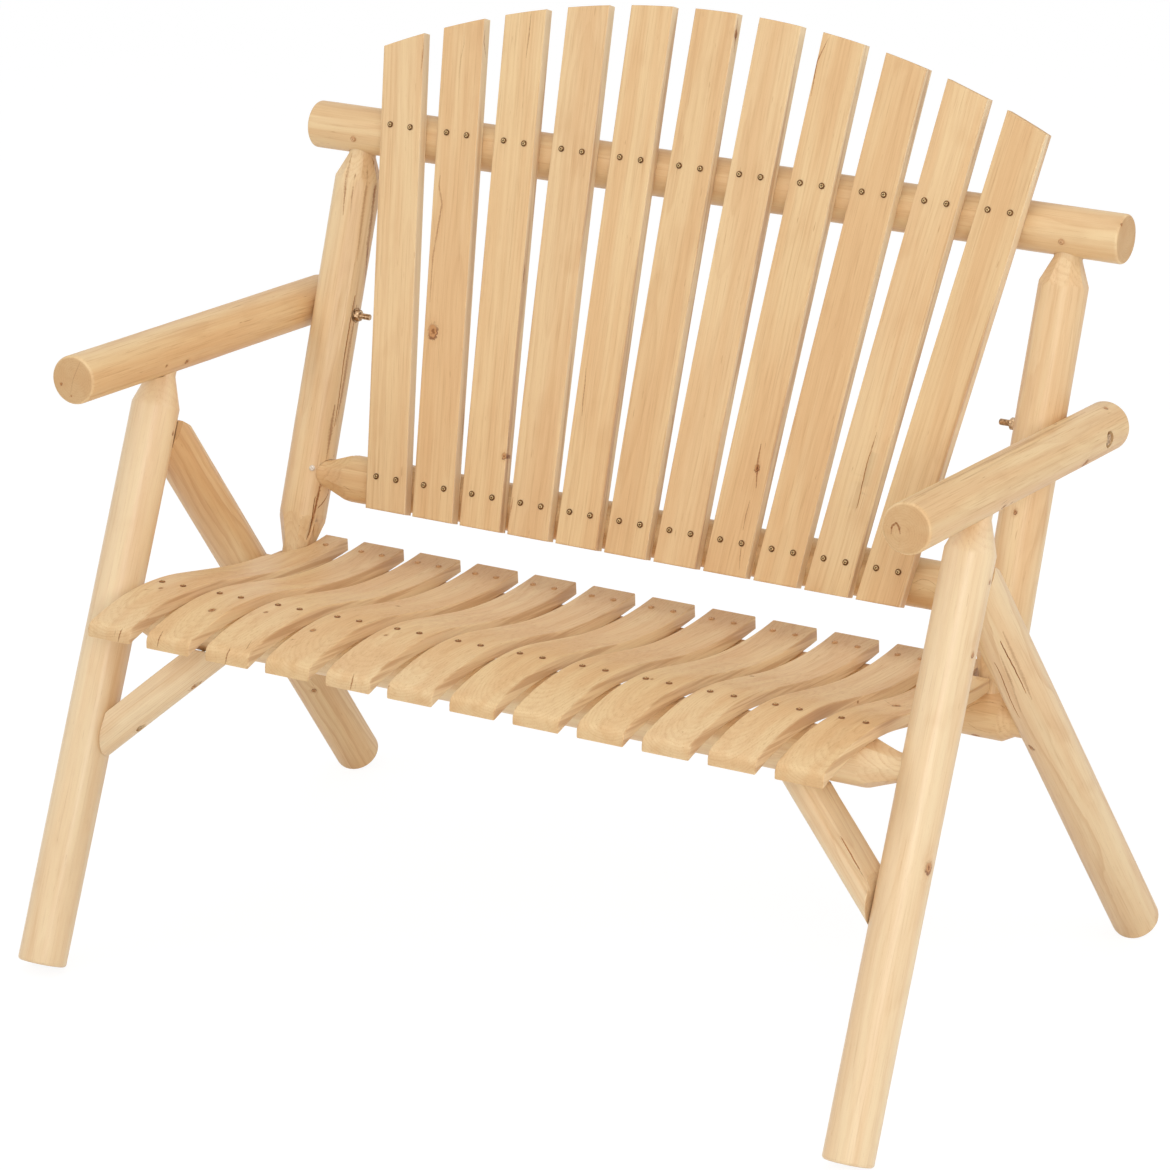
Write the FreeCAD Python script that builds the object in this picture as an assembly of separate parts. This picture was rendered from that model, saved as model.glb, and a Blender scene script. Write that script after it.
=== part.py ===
import FreeCAD, Part
import os
from math import cos, hypot, radians, sin, sqrt, tan

# Two-seat bench of peeled round logs with a slatted seat and a fanned, crowned back.
# Sizes are in millimetres. X runs along the bench, Y from front to back, Z up.
# The origin is on the floor, in the middle of the four feet.

V = FreeCAD.Vector
RIGHT = V(1, 0, 0)
UP = V(0, 0, 1)
FULL_TURN = 360
SIDES = (-1, 1)

# Round logs
log_r = 30.0
brace_r = 25.0

# Rounding of the sawn ends, and how far the feet are levelled off
rail_end_ease = 4.0
arm_end_ease = 5.0
front_foot_ease = 4.0
rear_foot_ease = 5.0
foot_flat = 1.0

# Fits: air under a seated piece, round a tenon or screw, and at the bottom of its hole
seat_gap = 0.3
peg_gap = 0.15
bottom_gap = 1.0
tenon_past = 8.0
overrun = 150.0

# Side frames
leg_x = 544.5
front_lean_deg = 23.6
rear_lean_deg = 38.7
rear_splay_deg = 3.0
rear_leg_inset = 3.2
front_rail_height = 414.5
rail_spacing = 308.0
rear_rail_drop = 44.5
saddle_depth = 16.0
nose_len = 66.0
nose_deg = 24.0

# Arms, from the point where the centre lines of arm and front leg meet
arm_height = 709.4
arm_drop_deg = 3.76
arm_front_reach = 201.0
arm_rear_reach = 355.0

# Back frame, measured up the posts from the rear seat rail
back_lean_deg = 19.5
post_setback = 3.0
low_rail_rise = 136.4
top_rail_rise = 572.1
top_rail_overhang = 69.3

# Tapered ends: tenon radius, length of the taper and bare tenon before the joint
leg_tenon_r = 17.0
leg_taper = 38.0
leg_shoulder = 2.0
post_top_tenon_r = 17.5
post_top_taper = 29.5
post_top_shoulder = 1.6
post_foot_tenon_r = 19.0
post_foot_taper = 38.0
post_foot_shoulder = 6.0
low_rail_tenon_r = 18.0
low_rail_taper = 33.0
front_rail_tenon_r = 17.0
front_rail_taper = 35.5
rear_rail_tenon_r = 22.0
rear_rail_taper = 15.0
rail_shoulder = 1.0
rear_rail_shoulder = 2.5

# Seat slats: two arcs joined by a straight, each resting on both seat rails
seat_slat_count = 12
seat_side_gap = 28.55
seat_slat_width = 60.0
seat_slat_thick = 16.0
seat_crown_r = 420.0
seat_dip_r = 700.0
seat_crown_deg = 2.7
seat_fall_deg = 4.4
seat_front_overhang = 139.9
seat_rear_overhang = 40.2
seat_nose_r = 13.0
notch_air = 3.2
notch_slope_len = 67.0

# Back slats: a fan of straight boards with their tops on one arc
back_slat_count = 11
back_slat_width = 57.0
back_slat_thick = 15.5
back_gap_low = 11.8
back_gap_top = 24.4
back_foot_drop = 32.0
back_crown_rise = 200.0
back_crown_r = 1120.0
slat_edge_ease = 1.5
slat_edge_steps = 2

# Slat screws and where they stand
screw_r = 2.0
screw_head_r = 3.8
screw_head_h = 2.2
screw_head_lip = 0.7
screw_tip = 5.0
screw_air = 0.1
slat_screw_len = 40.0
seat_screw_spread = 15.1
back_screw_spread = 14.4
front_screw_lead = 8.0
rear_screw_lag = 10.5
back_screw_lift = 9.0

# Screws that lock the tenons of the back frame
lock_screw_len = 45.0
low_lock_turn_deg = 34.0
low_lock_lift = 4.0
top_lock_tilt_deg = 9.6

# Front braces
brace_reach = 113.5
brace_screw_inset = 7.4
brace_bore_r = 5.5
brace_grip = 22.0
brace_screw_len = 46.0

# Arm bolts
bolt_r = 4.0
bolt_head_width = 13.0
bolt_head_h = 5.3
counterbore_r = 10.0
counterbore_depth = 8.4
washer_r = 8.4
washer_thick = 1.6
nut_h = 6.5
spot_depth = 2.0
spot_air = 1.0
stud_out = 14.0
hex_ease = 0.8

# Slopes of the members
front_up = V(0, sin(radians(front_lean_deg)), cos(radians(front_lean_deg)))
front_back = V(0, front_up.z, -front_up.y)
back_up = V(0, sin(radians(back_lean_deg)), cos(radians(back_lean_deg)))
back_in = V(0, back_up.z, -back_up.y)
arm_way = V(0, cos(radians(arm_drop_deg)), -sin(radians(arm_drop_deg)))
rear_down = V(tan(radians(rear_splay_deg)), 1, -1/tan(radians(rear_lean_deg)))
rear_down.normalize()


def foot_height(way, ease):
    """Height of the middle of a sawn foot whose eased rim is levelled off on the floor."""
    tilt = hypot(way.x, way.y)
    return (log_r - ease)*tilt + ease - ease*abs(way.z) - foot_flat


def foot_reach(way, ease):
    """How far an eased foot reaches along Y beyond the middle of its sawn end."""
    return (log_r - ease)*sqrt(1 - way.y**2) + ease - ease*abs(way.y)


def crossing(p, u, q, w):
    """Distance from p along u to the point where two lines cross in the side view."""
    apart = q - p
    return (apart.y*w.z - apart.z*w.y)/(u.y*w.z - u.z*w.y)


# Places of the members in the side view, centred on the feet
front_foot_z = foot_height(front_up, front_foot_ease)
rear_foot_z = foot_height(rear_down, rear_foot_ease)
rear_rail_height = front_rail_height - rear_rail_drop
front_leg_below = (front_rail_height - front_foot_z)/front_up.z
rear_leg_below = (rear_rail_height - rear_foot_z)/-rear_down.z
front_face = -front_leg_below*front_up.y - foot_reach(front_up, front_foot_ease)
rear_face = rail_spacing + rear_leg_below*rear_down.y + foot_reach(rear_down, rear_foot_ease)
front_rail = V(0, -(front_face + rear_face)/2, front_rail_height)
rear_rail = V(0, front_rail.y + rail_spacing, rear_rail_height)
low_rail = rear_rail + back_up*low_rail_rise - back_in*post_setback
top_rail = rear_rail + back_up*top_rail_rise - back_in*post_setback
front_leg_above = (arm_height - front_rail_height)/front_up.z
arm_joint = front_rail + front_up*front_leg_above
post_x = leg_x - 2*log_r - seat_gap
bolt_place = rear_rail + back_up*crossing(rear_rail, back_up, arm_joint, arm_way)
leg_meeting = front_rail + front_up*crossing(front_rail, front_up, rear_rail, rear_down)
rear_leg_top_x = leg_x - rear_leg_inset
rear_leg_x = rear_leg_top_x + (rear_rail.y - leg_meeting.y)*rear_down.x/rear_down.y
crown_middle = top_rail_rise - low_rail_rise + back_crown_rise - back_crown_r
seat_width = 2*(leg_x - log_r - seat_side_gap)
seat_slat_pitch = (seat_width - seat_slat_width)/(seat_slat_count - 1)
back_pitch_low = back_slat_width + back_gap_low
back_pitch_top = back_slat_width + back_gap_top


# Curve of the seat slats
rail_line = rear_rail - front_rail
rail_line.normalize()
rail_square = V(0, -rail_line.z, rail_line.y)


def tilted(degrees_up):
    """Direction square to the rail line, turned so that the seat rises rearwards by an angle."""
    angle = radians(degrees_up)
    return rail_square*cos(angle) - rail_line*sin(angle)


crown_square = tilted(seat_crown_deg)
fall_square = tilted(-seat_fall_deg)
fall_way = V(0, fall_square.z, -fall_square.y)
crown_centre = front_rail - crown_square*(seat_crown_r - seat_slat_thick - log_r - seat_gap)
dip_reach = seat_dip_r + seat_slat_thick + log_r + seat_gap
dip_base = crown_centre + fall_square*(seat_crown_r + seat_dip_r)
dip_apart = dip_base - rear_rail
dip_along = dip_apart.dot(fall_way)
straight_len = -dip_along - sqrt(dip_reach**2 - dip_apart.dot(dip_apart) + dip_along**2)
dip_centre = dip_base + fall_way*straight_len


def arc(centre, a, b):
    """Arc about a centre from a to b, the short way round."""
    from_a = a - centre
    from_b = b - centre
    circle = Part.Circle(centre, from_a.cross(from_b), from_a.Length)
    circle.XAxis = -(from_a + from_b)
    return circle.toShape(circle.parameter(a), circle.parameter(b))


def line(a, b):
    return Part.makeLine(a, b)


def turned(stations, base, way, first_ease=0, last_ease=0):
    """Log turned about its centre line from (distance, radius) stations."""
    first, first_r = stations[0]
    last, last_r = stations[-1]
    side = [V(r, 0, d) for d, r in stations]
    edges = []
    if first_ease:
        rim = V(first_r - first_ease, 0, first)
        side[0] = V(first_r, 0, first + first_ease)
        edges.append(line(V(0, 0, first), rim))
        edges.append(arc(V(first_r - first_ease, 0, first + first_ease), rim, side[0]))
    else:
        edges.append(line(V(0, 0, first), side[0]))
    closing = []
    if last_ease:
        rim = V(last_r - last_ease, 0, last)
        side[-1] = V(last_r, 0, last - last_ease)
        closing.append(arc(V(last_r - last_ease, 0, last - last_ease), side[-1], rim))
        closing.append(line(rim, V(0, 0, last)))
    else:
        closing.append(line(side[-1], V(0, 0, last)))
    edges += [line(a, b) for a, b in zip(side, side[1:])]
    edges += closing
    edges.append(line(V(0, 0, last), V(0, 0, first)))
    solid = Part.Face(Part.Wire(edges)).revolve(V(0, 0, 0), UP, FULL_TURN)
    solid.Placement = FreeCAD.Placement(base, FreeCAD.Rotation(UP, way))
    return solid


def rod(base, way, radius, length):
    """Plain cylinder from a point along a direction."""
    return Part.makeCylinder(radius, length, base, way)


def beyond(point, normal):
    """Block that fills the far side of a plane, for straight cuts."""
    block = Part.makeBox(2*overrun, 2*overrun, 2*overrun, V(-overrun, -overrun, 0))
    block.Placement = FreeCAD.Placement(point, FreeCAD.Rotation(UP, normal))
    return block


def mirrored(shape):
    return shape.mirror(V(0, 0, 0), RIGHT)


def single(shape):
    """The one solid of a boolean result."""
    return shape.Solids[0]


def save(name, shape):
    shape.exportStep("parts/" + name + ".step")


def save_pair(name, shape):
    """Write the right-hand piece and its mirror image."""
    save(name + "_right", shape)
    save(name + "_left", mirrored(shape))


# Screws

def screw(point, way, length):
    """Domed wood screw whose head lies on the surface at a point."""
    seat = screw_air
    rim = -seat - screw_head_lip
    crown = -seat - screw_head_h
    rise = screw_head_h - screw_head_lip
    dome_r = (screw_head_r**2 + rise**2)/(2*rise)
    edges = [
        arc(V(0, 0, crown + dome_r), V(0, 0, crown), V(screw_head_r, 0, rim)),
        line(V(screw_head_r, 0, rim), V(screw_head_r, 0, -seat)),
        line(V(screw_head_r, 0, -seat), V(screw_r, 0, -seat)),
        line(V(screw_r, 0, -seat), V(screw_r, 0, length - screw_tip)),
        line(V(screw_r, 0, length - screw_tip), V(0, 0, length)),
        line(V(0, 0, length), V(0, 0, crown)),
    ]
    solid = Part.Face(Part.Wire(edges)).revolve(V(0, 0, 0), UP, FULL_TURN)
    solid.Placement = FreeCAD.Placement(point, FreeCAD.Rotation(UP, way))
    return solid


def screw_hole(point, way, length):
    """Hole for a screw, open at the surface and a little deeper than its tip."""
    start = point - way*screw_head_h
    return rod(start, way, screw_r + peg_gap, screw_head_h + length + bottom_gap)


def screws_and_holes(places, length):
    """Screws and their holes for a list of (point, direction)."""
    screws = [screw(point, way, length) for point, way in places]
    holes = [screw_hole(point, way, length) for point, way in places]
    return screws, holes


# Seat slats

def seat_slat_x(k):
    return (k - (seat_slat_count - 1)/2)*seat_slat_pitch


def ease_steps():
    """Depth and inset of the steps that round a slat's edge."""
    angles = [radians(FULL_TURN/4*n/slat_edge_steps) for n in range(slat_edge_steps + 1)]
    return [(slat_edge_ease*(1 - cos(a)), slat_edge_ease*(1 - sin(a))) for a in angles]


def seat_profile(x, inset):
    """Side outline of a seat slat at a place across it, drawn in by an inset."""
    crown_r = seat_crown_r - inset
    crown_under_r = seat_crown_r - seat_slat_thick + inset
    dip_r = seat_dip_r + inset
    dip_under_r = seat_dip_r + seat_slat_thick - inset
    nose_r = seat_nose_r - inset
    front_y = front_rail.y - seat_front_overhang + inset
    rear_y = rear_rail.y + seat_rear_overhang - inset
    under_z = crown_centre.z + sqrt(crown_under_r**2 - (front_y - crown_centre.y)**2)
    nose_y = front_y + nose_r
    nose_z = crown_centre.z + sqrt((crown_r - nose_r)**2 - (nose_y - crown_centre.y)**2)
    nose = V(0, nose_y, nose_z)
    front_under = V(0, front_y, under_z)
    front_top = V(0, front_y, nose_z)
    nose_way = nose - crown_centre
    nose_way.normalize()
    nose_top = crown_centre + nose_way*crown_r
    fall_start = crown_centre + fall_square*crown_r
    fall_end = dip_centre - fall_square*dip_r
    rear_way = V(0, rear_y - dip_centre.y, -sqrt(dip_r**2 - (rear_y - dip_centre.y)**2))
    rear_way.normalize()
    rear_top = dip_centre + rear_way*dip_r
    rear_under = dip_centre + rear_way*dip_under_r
    under_fall_end = dip_centre - fall_square*dip_under_r
    under_fall_start = crown_centre + fall_square*crown_under_r
    outline = Part.Wire([
        line(front_under, front_top),
        arc(nose, front_top, nose_top),
        arc(crown_centre, nose_top, fall_start),
        line(fall_start, fall_end),
        arc(dip_centre, fall_end, rear_top),
        line(rear_top, rear_under),
        arc(dip_centre, rear_under, under_fall_end),
        line(under_fall_end, under_fall_start),
        arc(crown_centre, under_fall_start, front_under),
    ])
    outline.translate(RIGHT*x)
    return outline


def seat_board():
    """Seat slat in the middle of the bench, with its edges eased on both sides."""
    half = seat_slat_width/2
    left = [seat_profile(depth - half, inset) for depth, inset in ease_steps()]
    right = [seat_profile(half - depth, inset) for depth, inset in reversed(ease_steps())]
    return Part.makeLoft(left + right, True, True)


def post_radius_at(rise):
    """Radius of a post where its lower end tapers, at a distance above the rear seat rail."""
    taper_start = log_r + post_foot_shoulder
    share = (rise - taper_start)/post_foot_taper
    return post_foot_tenon_r + (log_r - post_foot_tenon_r)*max(0, min(1, share))


def notch_places():
    """Where the outer slats give way to the posts: front and inner edge of the clear space."""
    seat_z = dip_centre.z - seat_dip_r
    rise = (seat_z - rear_rail.z)/back_up.z
    radius = post_radius_at(rise)
    front = rear_rail.y + back_up.y*rise - radius/back_up.z - seat_gap
    return front, post_x - radius - notch_air


def notch(side, slope, air):
    """Prism cut out of an outer slat: a square step, or a long slope with air behind it."""
    front, inner = notch_places()
    outer = seat_slat_x(seat_slat_count - 1) + seat_slat_width
    low = rear_rail.z - overrun
    points = [
        V(side*inner, front + air, low),
        V(side*(seat_slat_x(seat_slat_count - 1) + seat_slat_width/2), front - slope, low),
        V(side*outer, front - slope, low),
        V(side*outer, front + overrun, low),
        V(side*inner, front + overrun, low),
    ]
    return Part.Face(Part.makePolygon(points + points[:1])).extrude(UP*2*overrun)


def seat_screw_places():
    """Front and rear screw places by slat, each as (point, direction)."""
    lead = front_screw_lead/seat_crown_r
    front_square = crown_square*cos(lead) - V(0, crown_square.z, -crown_square.y)*sin(lead)
    front_point = crown_centre + front_square*seat_crown_r
    rear_y = rear_rail.y + rear_screw_lag
    rear_square = V(0, dip_centre.y - rear_y, sqrt(seat_dip_r**2 - (rear_y - dip_centre.y)**2))
    rear_square.normalize()
    rear_point = dip_centre - rear_square*seat_dip_r
    return front_point, -front_square, rear_point, -rear_square


# Back slats

def back_slat_x(k, rise):
    """Middle of a back slat at a height above the lower back rail."""
    share = rise/(top_rail_rise - low_rail_rise)
    pitch = back_pitch_low + (back_pitch_top - back_pitch_low)*share
    return (k - (back_slat_count - 1)/2)*pitch


def crown_height(start, lean, radius):
    """Height at which a slat's side meets an arc about the middle of the back's crown."""
    a = 1 + lean**2
    b = start*lean - crown_middle
    c = start**2 + crown_middle**2 - radius**2
    return (sqrt(b**2 - a*c) - b)/a


def back_point(x, rise, depth):
    """Point of the back: across, above the lower rail, and in front of the slats' rear face."""
    return low_rail + RIGHT*x + back_up*rise - back_in*(log_r + seat_gap + depth)


def back_outline(k, depth, inset):
    """Outline of a back slat at a depth, drawn in by an inset."""
    lean = back_slat_x(k, 1) - back_slat_x(k, 0)
    half = (back_slat_width/2 - inset)*sqrt(1 + lean**2)
    foot = inset - back_foot_drop
    corners = []
    for side in SIDES:
        start = back_slat_x(k, 0) + side*half
        top = crown_height(start, lean, back_crown_r - inset)
        corners.append(back_point(start + lean*foot, foot, depth))
        corners.append(back_point(start + lean*top, top, depth))
    left_foot, left_top, right_foot, right_top = corners
    return Part.Wire([
        line(left_foot, left_top),
        arc(back_point(0, crown_middle, depth), left_top, right_top),
        line(right_top, right_foot),
        line(right_foot, left_foot),
    ])


def back_board(k):
    """One back slat with the edges of its front eased."""
    outlines = [back_outline(k, 0, 0)]
    for depth, inset in reversed(ease_steps()):
        outlines.append(back_outline(k, back_slat_thick - depth, inset))
    return Part.makeLoft(outlines, True, True)


# Members of the frame

def front_leg_and_holes():
    """Right front leg, and the hole for its tenon in the arm."""
    foot = front_rail - front_up*front_leg_below + RIGHT*leg_x
    length = front_leg_below + front_leg_above
    neck = length - log_r - leg_shoulder
    leg = turned([(0, log_r), (neck - leg_taper, log_r), (neck, leg_tenon_r)],
                 foot, front_up, first_ease=front_foot_ease)
    arm_space = rod(arm_joint + RIGHT*leg_x - arm_way*overrun, arm_way, log_r + seat_gap, 2*overrun)
    leg = leg.cut(arm_space)
    tenon = rod(foot + front_up*(neck - leg_shoulder), front_up, leg_tenon_r,
                log_r + 2*leg_shoulder + tenon_past)
    leg = leg.fuse(tenon).removeSplitter()
    leg = leg.cut(beyond(V(leg_x, foot.y, 0), -UP))
    hole = rod(foot + front_up*(neck - leg_taper), front_up, leg_tenon_r + peg_gap,
               leg_taper + leg_shoulder + log_r + tenon_past + bottom_gap)
    return leg, hole


def arm():
    """Right arm before it is drilled."""
    start = arm_joint + RIGHT*leg_x - arm_way*arm_front_reach
    length = arm_front_reach + arm_rear_reach
    return turned([(0, log_r), (length, log_r)], start, arm_way, arm_end_ease, arm_end_ease)


def post():
    """Right back post with a tenon at each end."""
    foot = log_r + post_foot_shoulder
    neck = top_rail_rise - log_r - post_top_shoulder
    stations = [
        (-tenon_past, post_foot_tenon_r),
        (foot, post_foot_tenon_r),
        (foot + post_foot_taper, log_r),
        (neck - post_top_taper, log_r),
        (neck, post_top_tenon_r),
        (top_rail_rise + tenon_past, post_top_tenon_r),
    ]
    return turned(stations, rear_rail + RIGHT*post_x, back_up)


def post_holes():
    """Holes for the right post's two tenons, in the rear seat rail and in the top rail."""
    start = rear_rail + RIGHT*post_x
    low = rod(start - back_up*(tenon_past + bottom_gap), back_up, post_foot_tenon_r + peg_gap,
              tenon_past + bottom_gap + 2*log_r)
    high = rod(start + back_up*(top_rail_rise - 2*log_r), back_up, post_top_tenon_r + peg_gap,
               2*log_r + tenon_past + bottom_gap)
    return low, high


def tapered_rail(place, joint_x, taper, tenon_r, shoulder):
    """Rail along X with a tapered end and a tenon into the log that stands at joint_x."""
    tenon_end = joint_x + tenon_past
    neck = joint_x - log_r - shoulder
    half = [(neck - taper, log_r), (neck, tenon_r), (tenon_end, tenon_r)]
    stations = [(-d, r) for d, r in reversed(half)] + half
    return turned(stations, place, RIGHT)


def rail_hole(place, joint_x, tenon_r):
    """Hole in the right-hand log for a rail's tenon."""
    return rod(place + RIGHT*(joint_x - 2*log_r), RIGHT, tenon_r + peg_gap,
               2*log_r + tenon_past + bottom_gap)


def rear_leg():
    """Right rear leg, saddled on the back of the front leg and whittled at its upper nose."""
    start = leg_meeting + RIGHT*rear_leg_top_x
    front_start = leg_meeting + RIGHT*leg_x - front_up*overrun
    length = (leg_meeting.z - rear_foot_z)/-rear_down.z
    leg = turned([(0, log_r), (length, log_r)], start, rear_down, last_ease=rear_foot_ease)
    leg = leg.cut(rod(front_start, front_up, log_r + seat_gap, 2*overrun))
    leg = leg.cut(beyond(start + front_back*saddle_depth, -front_back))
    upper = V(0, -rear_down.z, rear_down.y)
    upper.normalize()
    nose_start = start + rear_down*nose_len + upper*log_r
    nose_angle = radians(nose_deg)
    leg = leg.cut(beyond(nose_start, upper*cos(nose_angle) - rear_down*sin(nose_angle)))
    foot = start + rear_down*length
    return leg.cut(beyond(V(foot.x, foot.y, 0), -UP))


def brace_point(x, drop):
    """Point in the leaning plane of the front legs: across, and down from the front rail."""
    return front_rail + RIGHT*x - front_up*drop


def brace_and_screws():
    """Right front brace with its two deep screw holes, and the places of its screws."""
    leg_side = leg_x - log_r - seat_gap
    rail_side = log_r + seat_gap
    low = brace_point(leg_side, rail_side + brace_reach)
    high = brace_point(leg_side - brace_reach, rail_side)
    way = high - low
    length = way.Length
    way.normalize()
    brace = rod(low - way*2*brace_r, way, brace_r, length + 4*brace_r)
    brace = brace.cut(beyond(low, RIGHT)).cut(beyond(high, front_up))
    up_x = leg_side - brace_reach + brace_screw_inset
    out_drop = rail_side + brace_reach - brace_screw_inset
    places = [
        (brace_point(up_x, rail_side + brace_grip), front_up),
        (brace_point(leg_side - brace_grip, out_drop), RIGHT),
    ]
    for point, screw_way in places:
        brace = brace.cut(rod(point - screw_way*overrun, screw_way, brace_bore_r, overrun))
    return brace, places


# Arm bolts

def hexagon(point, height):
    """Hexagonal block that starts at a point and runs outwards along X, with eased corners."""
    corner_r = bolt_head_width/2/cos(radians(FULL_TURN/12))
    angles = [radians(FULL_TURN*n/6) for n in range(6)]
    corners = [point + V(0, corner_r*cos(a), corner_r*sin(a)) for a in angles]
    block = Part.Face(Part.makePolygon(corners + corners[:1])).extrude(RIGHT*height)
    round_off = turned(
        [(0, corner_r - hex_ease), (hex_ease, corner_r), (height - hex_ease, corner_r),
         (height, corner_r - hex_ease)], point, RIGHT)
    return block.common(round_off)


def arm_bolt_set():
    """Bolt, washers, nut, and the holes that the right-hand bolt needs."""
    head_seat = leg_x + log_r - counterbore_depth
    spot = post_x - log_r + spot_depth
    nut_face = spot - washer_thick - nut_h
    stud_end = nut_face - stud_out
    centre = V(0, bolt_place.y, bolt_place.z)
    hole_r = bolt_r + peg_gap
    head = hexagon(centre + RIGHT*(head_seat + washer_thick), bolt_head_h)
    shank = turned(
        [(0, bolt_r - hex_ease), (hex_ease, bolt_r), (head_seat + washer_thick - stud_end, bolt_r)],
        centre + RIGHT*stud_end, RIGHT)
    bolt = head.fuse(shank)
    washers = []
    for x in (head_seat, spot - washer_thick):
        disc = rod(centre + RIGHT*x, RIGHT, washer_r, washer_thick)
        washers.append(disc.cut(rod(centre + RIGHT*x, RIGHT, hole_r, washer_thick)))
    nut = hexagon(centre + RIGHT*nut_face, nut_h)
    nut = nut.cut(rod(centre + RIGHT*nut_face, RIGHT, hole_r, nut_h))
    through = rod(centre + RIGHT*(stud_end - overrun), RIGHT, hole_r, head_seat - stud_end + 2*overrun)
    counterbore = rod(centre + RIGHT*head_seat, RIGHT, counterbore_r, overrun)
    spot_face = rod(centre + RIGHT*(spot - overrun), RIGHT, washer_r + spot_air, overrun)
    return bolt, washers, nut, through, counterbore, spot_face


def lock_screw_places():
    """Screws that lock the right post's tenons: the lower rail's and its own in the top rail."""
    turn = radians(low_lock_turn_deg)
    low_way = back_in*cos(turn) + RIGHT*sin(turn)
    low_post = rear_rail + RIGHT*post_x + back_up*(low_rail_rise + low_lock_lift)
    low = (low_post - low_way*log_r, low_way)
    tilt = radians(top_lock_tilt_deg)
    top_way = V(0, cos(tilt), sin(tilt))
    top = (top_rail + RIGHT*post_x - top_way*log_r, top_way)
    return low, top


def both_sides(shapes):
    """Shapes of the right-hand side followed by their mirror images."""
    return shapes + [mirrored(s) for s in shapes]


# Build the bench
os.makedirs("parts", exist_ok=True)

front_point, front_in, rear_point, rear_in = seat_screw_places()
seat_front_places = []
seat_rear_places = []
slats = []
for k in range(seat_slat_count):
    x = seat_slat_x(k)
    spots = [x + side*seat_screw_spread for side in SIDES]
    inner_spots = [s for s in spots if abs(s) < notch_places()[1]]
    seat_front_places.append([(front_point + RIGHT*s, front_in) for s in spots])
    seat_rear_places.append([(rear_point + RIGHT*s, rear_in) for s in inner_spots])
board = seat_board()
for k in range(seat_slat_count):
    slat = board.copy()
    slat.translate(RIGHT*seat_slat_x(k))
    if k == 0:
        slat = slat.cut(notch(-1, notch_slope_len, notch_air))
    if k == seat_slat_count - 1:
        slat = slat.cut(notch(1, 0, 0))
    holes = [screw_hole(p, w, slat_screw_len) for p, w in seat_front_places[k] + seat_rear_places[k]]
    save("seat_slat_%02d" % (k + 1), single(slat.cut(holes)))

seat_front_screws, seat_front_holes = screws_and_holes(sum(seat_front_places, []), slat_screw_len)
seat_rear_screws, seat_rear_holes = screws_and_holes(sum(seat_rear_places, []), slat_screw_len)
save("seat_front_screws", Part.makeCompound(seat_front_screws))
save("seat_rear_screws", Part.makeCompound(seat_rear_screws))

back_low_places = []
back_top_places = []
for k in range(back_slat_count):
    low_rise = back_screw_lift
    top_rise = top_rail_rise - low_rail_rise + back_screw_lift
    low = [(back_point(back_slat_x(k, low_rise) + side*back_screw_spread, low_rise,
                       back_slat_thick), back_in) for side in SIDES]
    top = [(back_point(back_slat_x(k, top_rise) + side*back_screw_spread, top_rise,
                       back_slat_thick), back_in) for side in SIDES]
    holes = [screw_hole(p, w, slat_screw_len) for p, w in low + top]
    save("back_slat_%02d" % (k + 1), single(back_board(k).cut(holes)))
    back_low_places += low
    back_top_places += top

back_low_screws, back_low_holes = screws_and_holes(back_low_places, slat_screw_len)
back_top_screws, back_top_holes = screws_and_holes(back_top_places, slat_screw_len)
save("back_low_screws", Part.makeCompound(back_low_screws))
save("back_top_screws", Part.makeCompound(back_top_screws))

brace, brace_places = brace_and_screws()
brace_screws, brace_holes = screws_and_holes(brace_places, brace_screw_len)
save_pair("front_brace", single(brace.cut(brace_holes)))
save("brace_screws", Part.makeCompound(both_sides(brace_screws)))

lock_places = lock_screw_places()
lock_screws, lock_holes = screws_and_holes(lock_places, lock_screw_len)
low_lock, top_lock = lock_screws
save("low_rail_lock_screws", Part.makeCompound(both_sides([low_lock])))
save("top_rail_lock_screws", Part.makeCompound(both_sides([top_lock])))

bolt, washers, nut, through, counterbore, spot_face = arm_bolt_set()
save("arm_bolts", Part.makeCompound(both_sides([bolt])))
save("arm_bolt_washers", Part.makeCompound(both_sides(washers)))
save("arm_bolt_nuts", Part.makeCompound(both_sides([nut])))

front_leg, arm_tenon_hole = front_leg_and_holes()
front_leg_cuts = [rail_hole(front_rail, leg_x, front_rail_tenon_r)] + brace_holes
save_pair("front_leg", single(front_leg.cut(front_leg_cuts)))
save_pair("rear_leg", single(rear_leg().cut(rail_hole(rear_rail, rear_leg_x, rear_rail_tenon_r))))
save_pair("arm", single(arm().cut([arm_tenon_hole, through, counterbore])))

low_post_hole, high_post_hole = post_holes()
post_cuts = [through, spot_face, rail_hole(low_rail, post_x, low_rail_tenon_r)] + lock_holes
save_pair("back_post", single(post().cut(post_cuts)))

front_seat_rail = tapered_rail(front_rail, leg_x, front_rail_taper, front_rail_tenon_r, rail_shoulder)
save("front_seat_rail", single(front_seat_rail.cut(seat_front_holes + both_sides(brace_holes))))

rear_seat_rail = tapered_rail(
    rear_rail, rear_leg_x, rear_rail_taper, rear_rail_tenon_r, rear_rail_shoulder)
save("rear_seat_rail", single(rear_seat_rail.cut(seat_rear_holes + both_sides([low_post_hole]))))

lower_back_rail = tapered_rail(low_rail, post_x, low_rail_taper, low_rail_tenon_r, rail_shoulder)
save("lower_back_rail", single(lower_back_rail.cut(back_low_holes + both_sides([lock_holes[0]]))))

top_half = post_x + top_rail_overhang
top_log = turned([(-top_half, log_r), (top_half, log_r)], top_rail, RIGHT, rail_end_ease, rail_end_ease)
top_cuts = back_top_holes + both_sides([high_post_hole, lock_holes[1]])
save("top_rail", single(top_log.cut(top_cuts)))
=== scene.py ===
from functools import cache
from itertools import count
from math import atan2, cos, exp, pi, radians, sin, sqrt, tan

import bmesh
import bpy
import numpy as np
from mathutils import Matrix, Vector, noise
from mathutils.bvhtree import BVHTree


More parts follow.
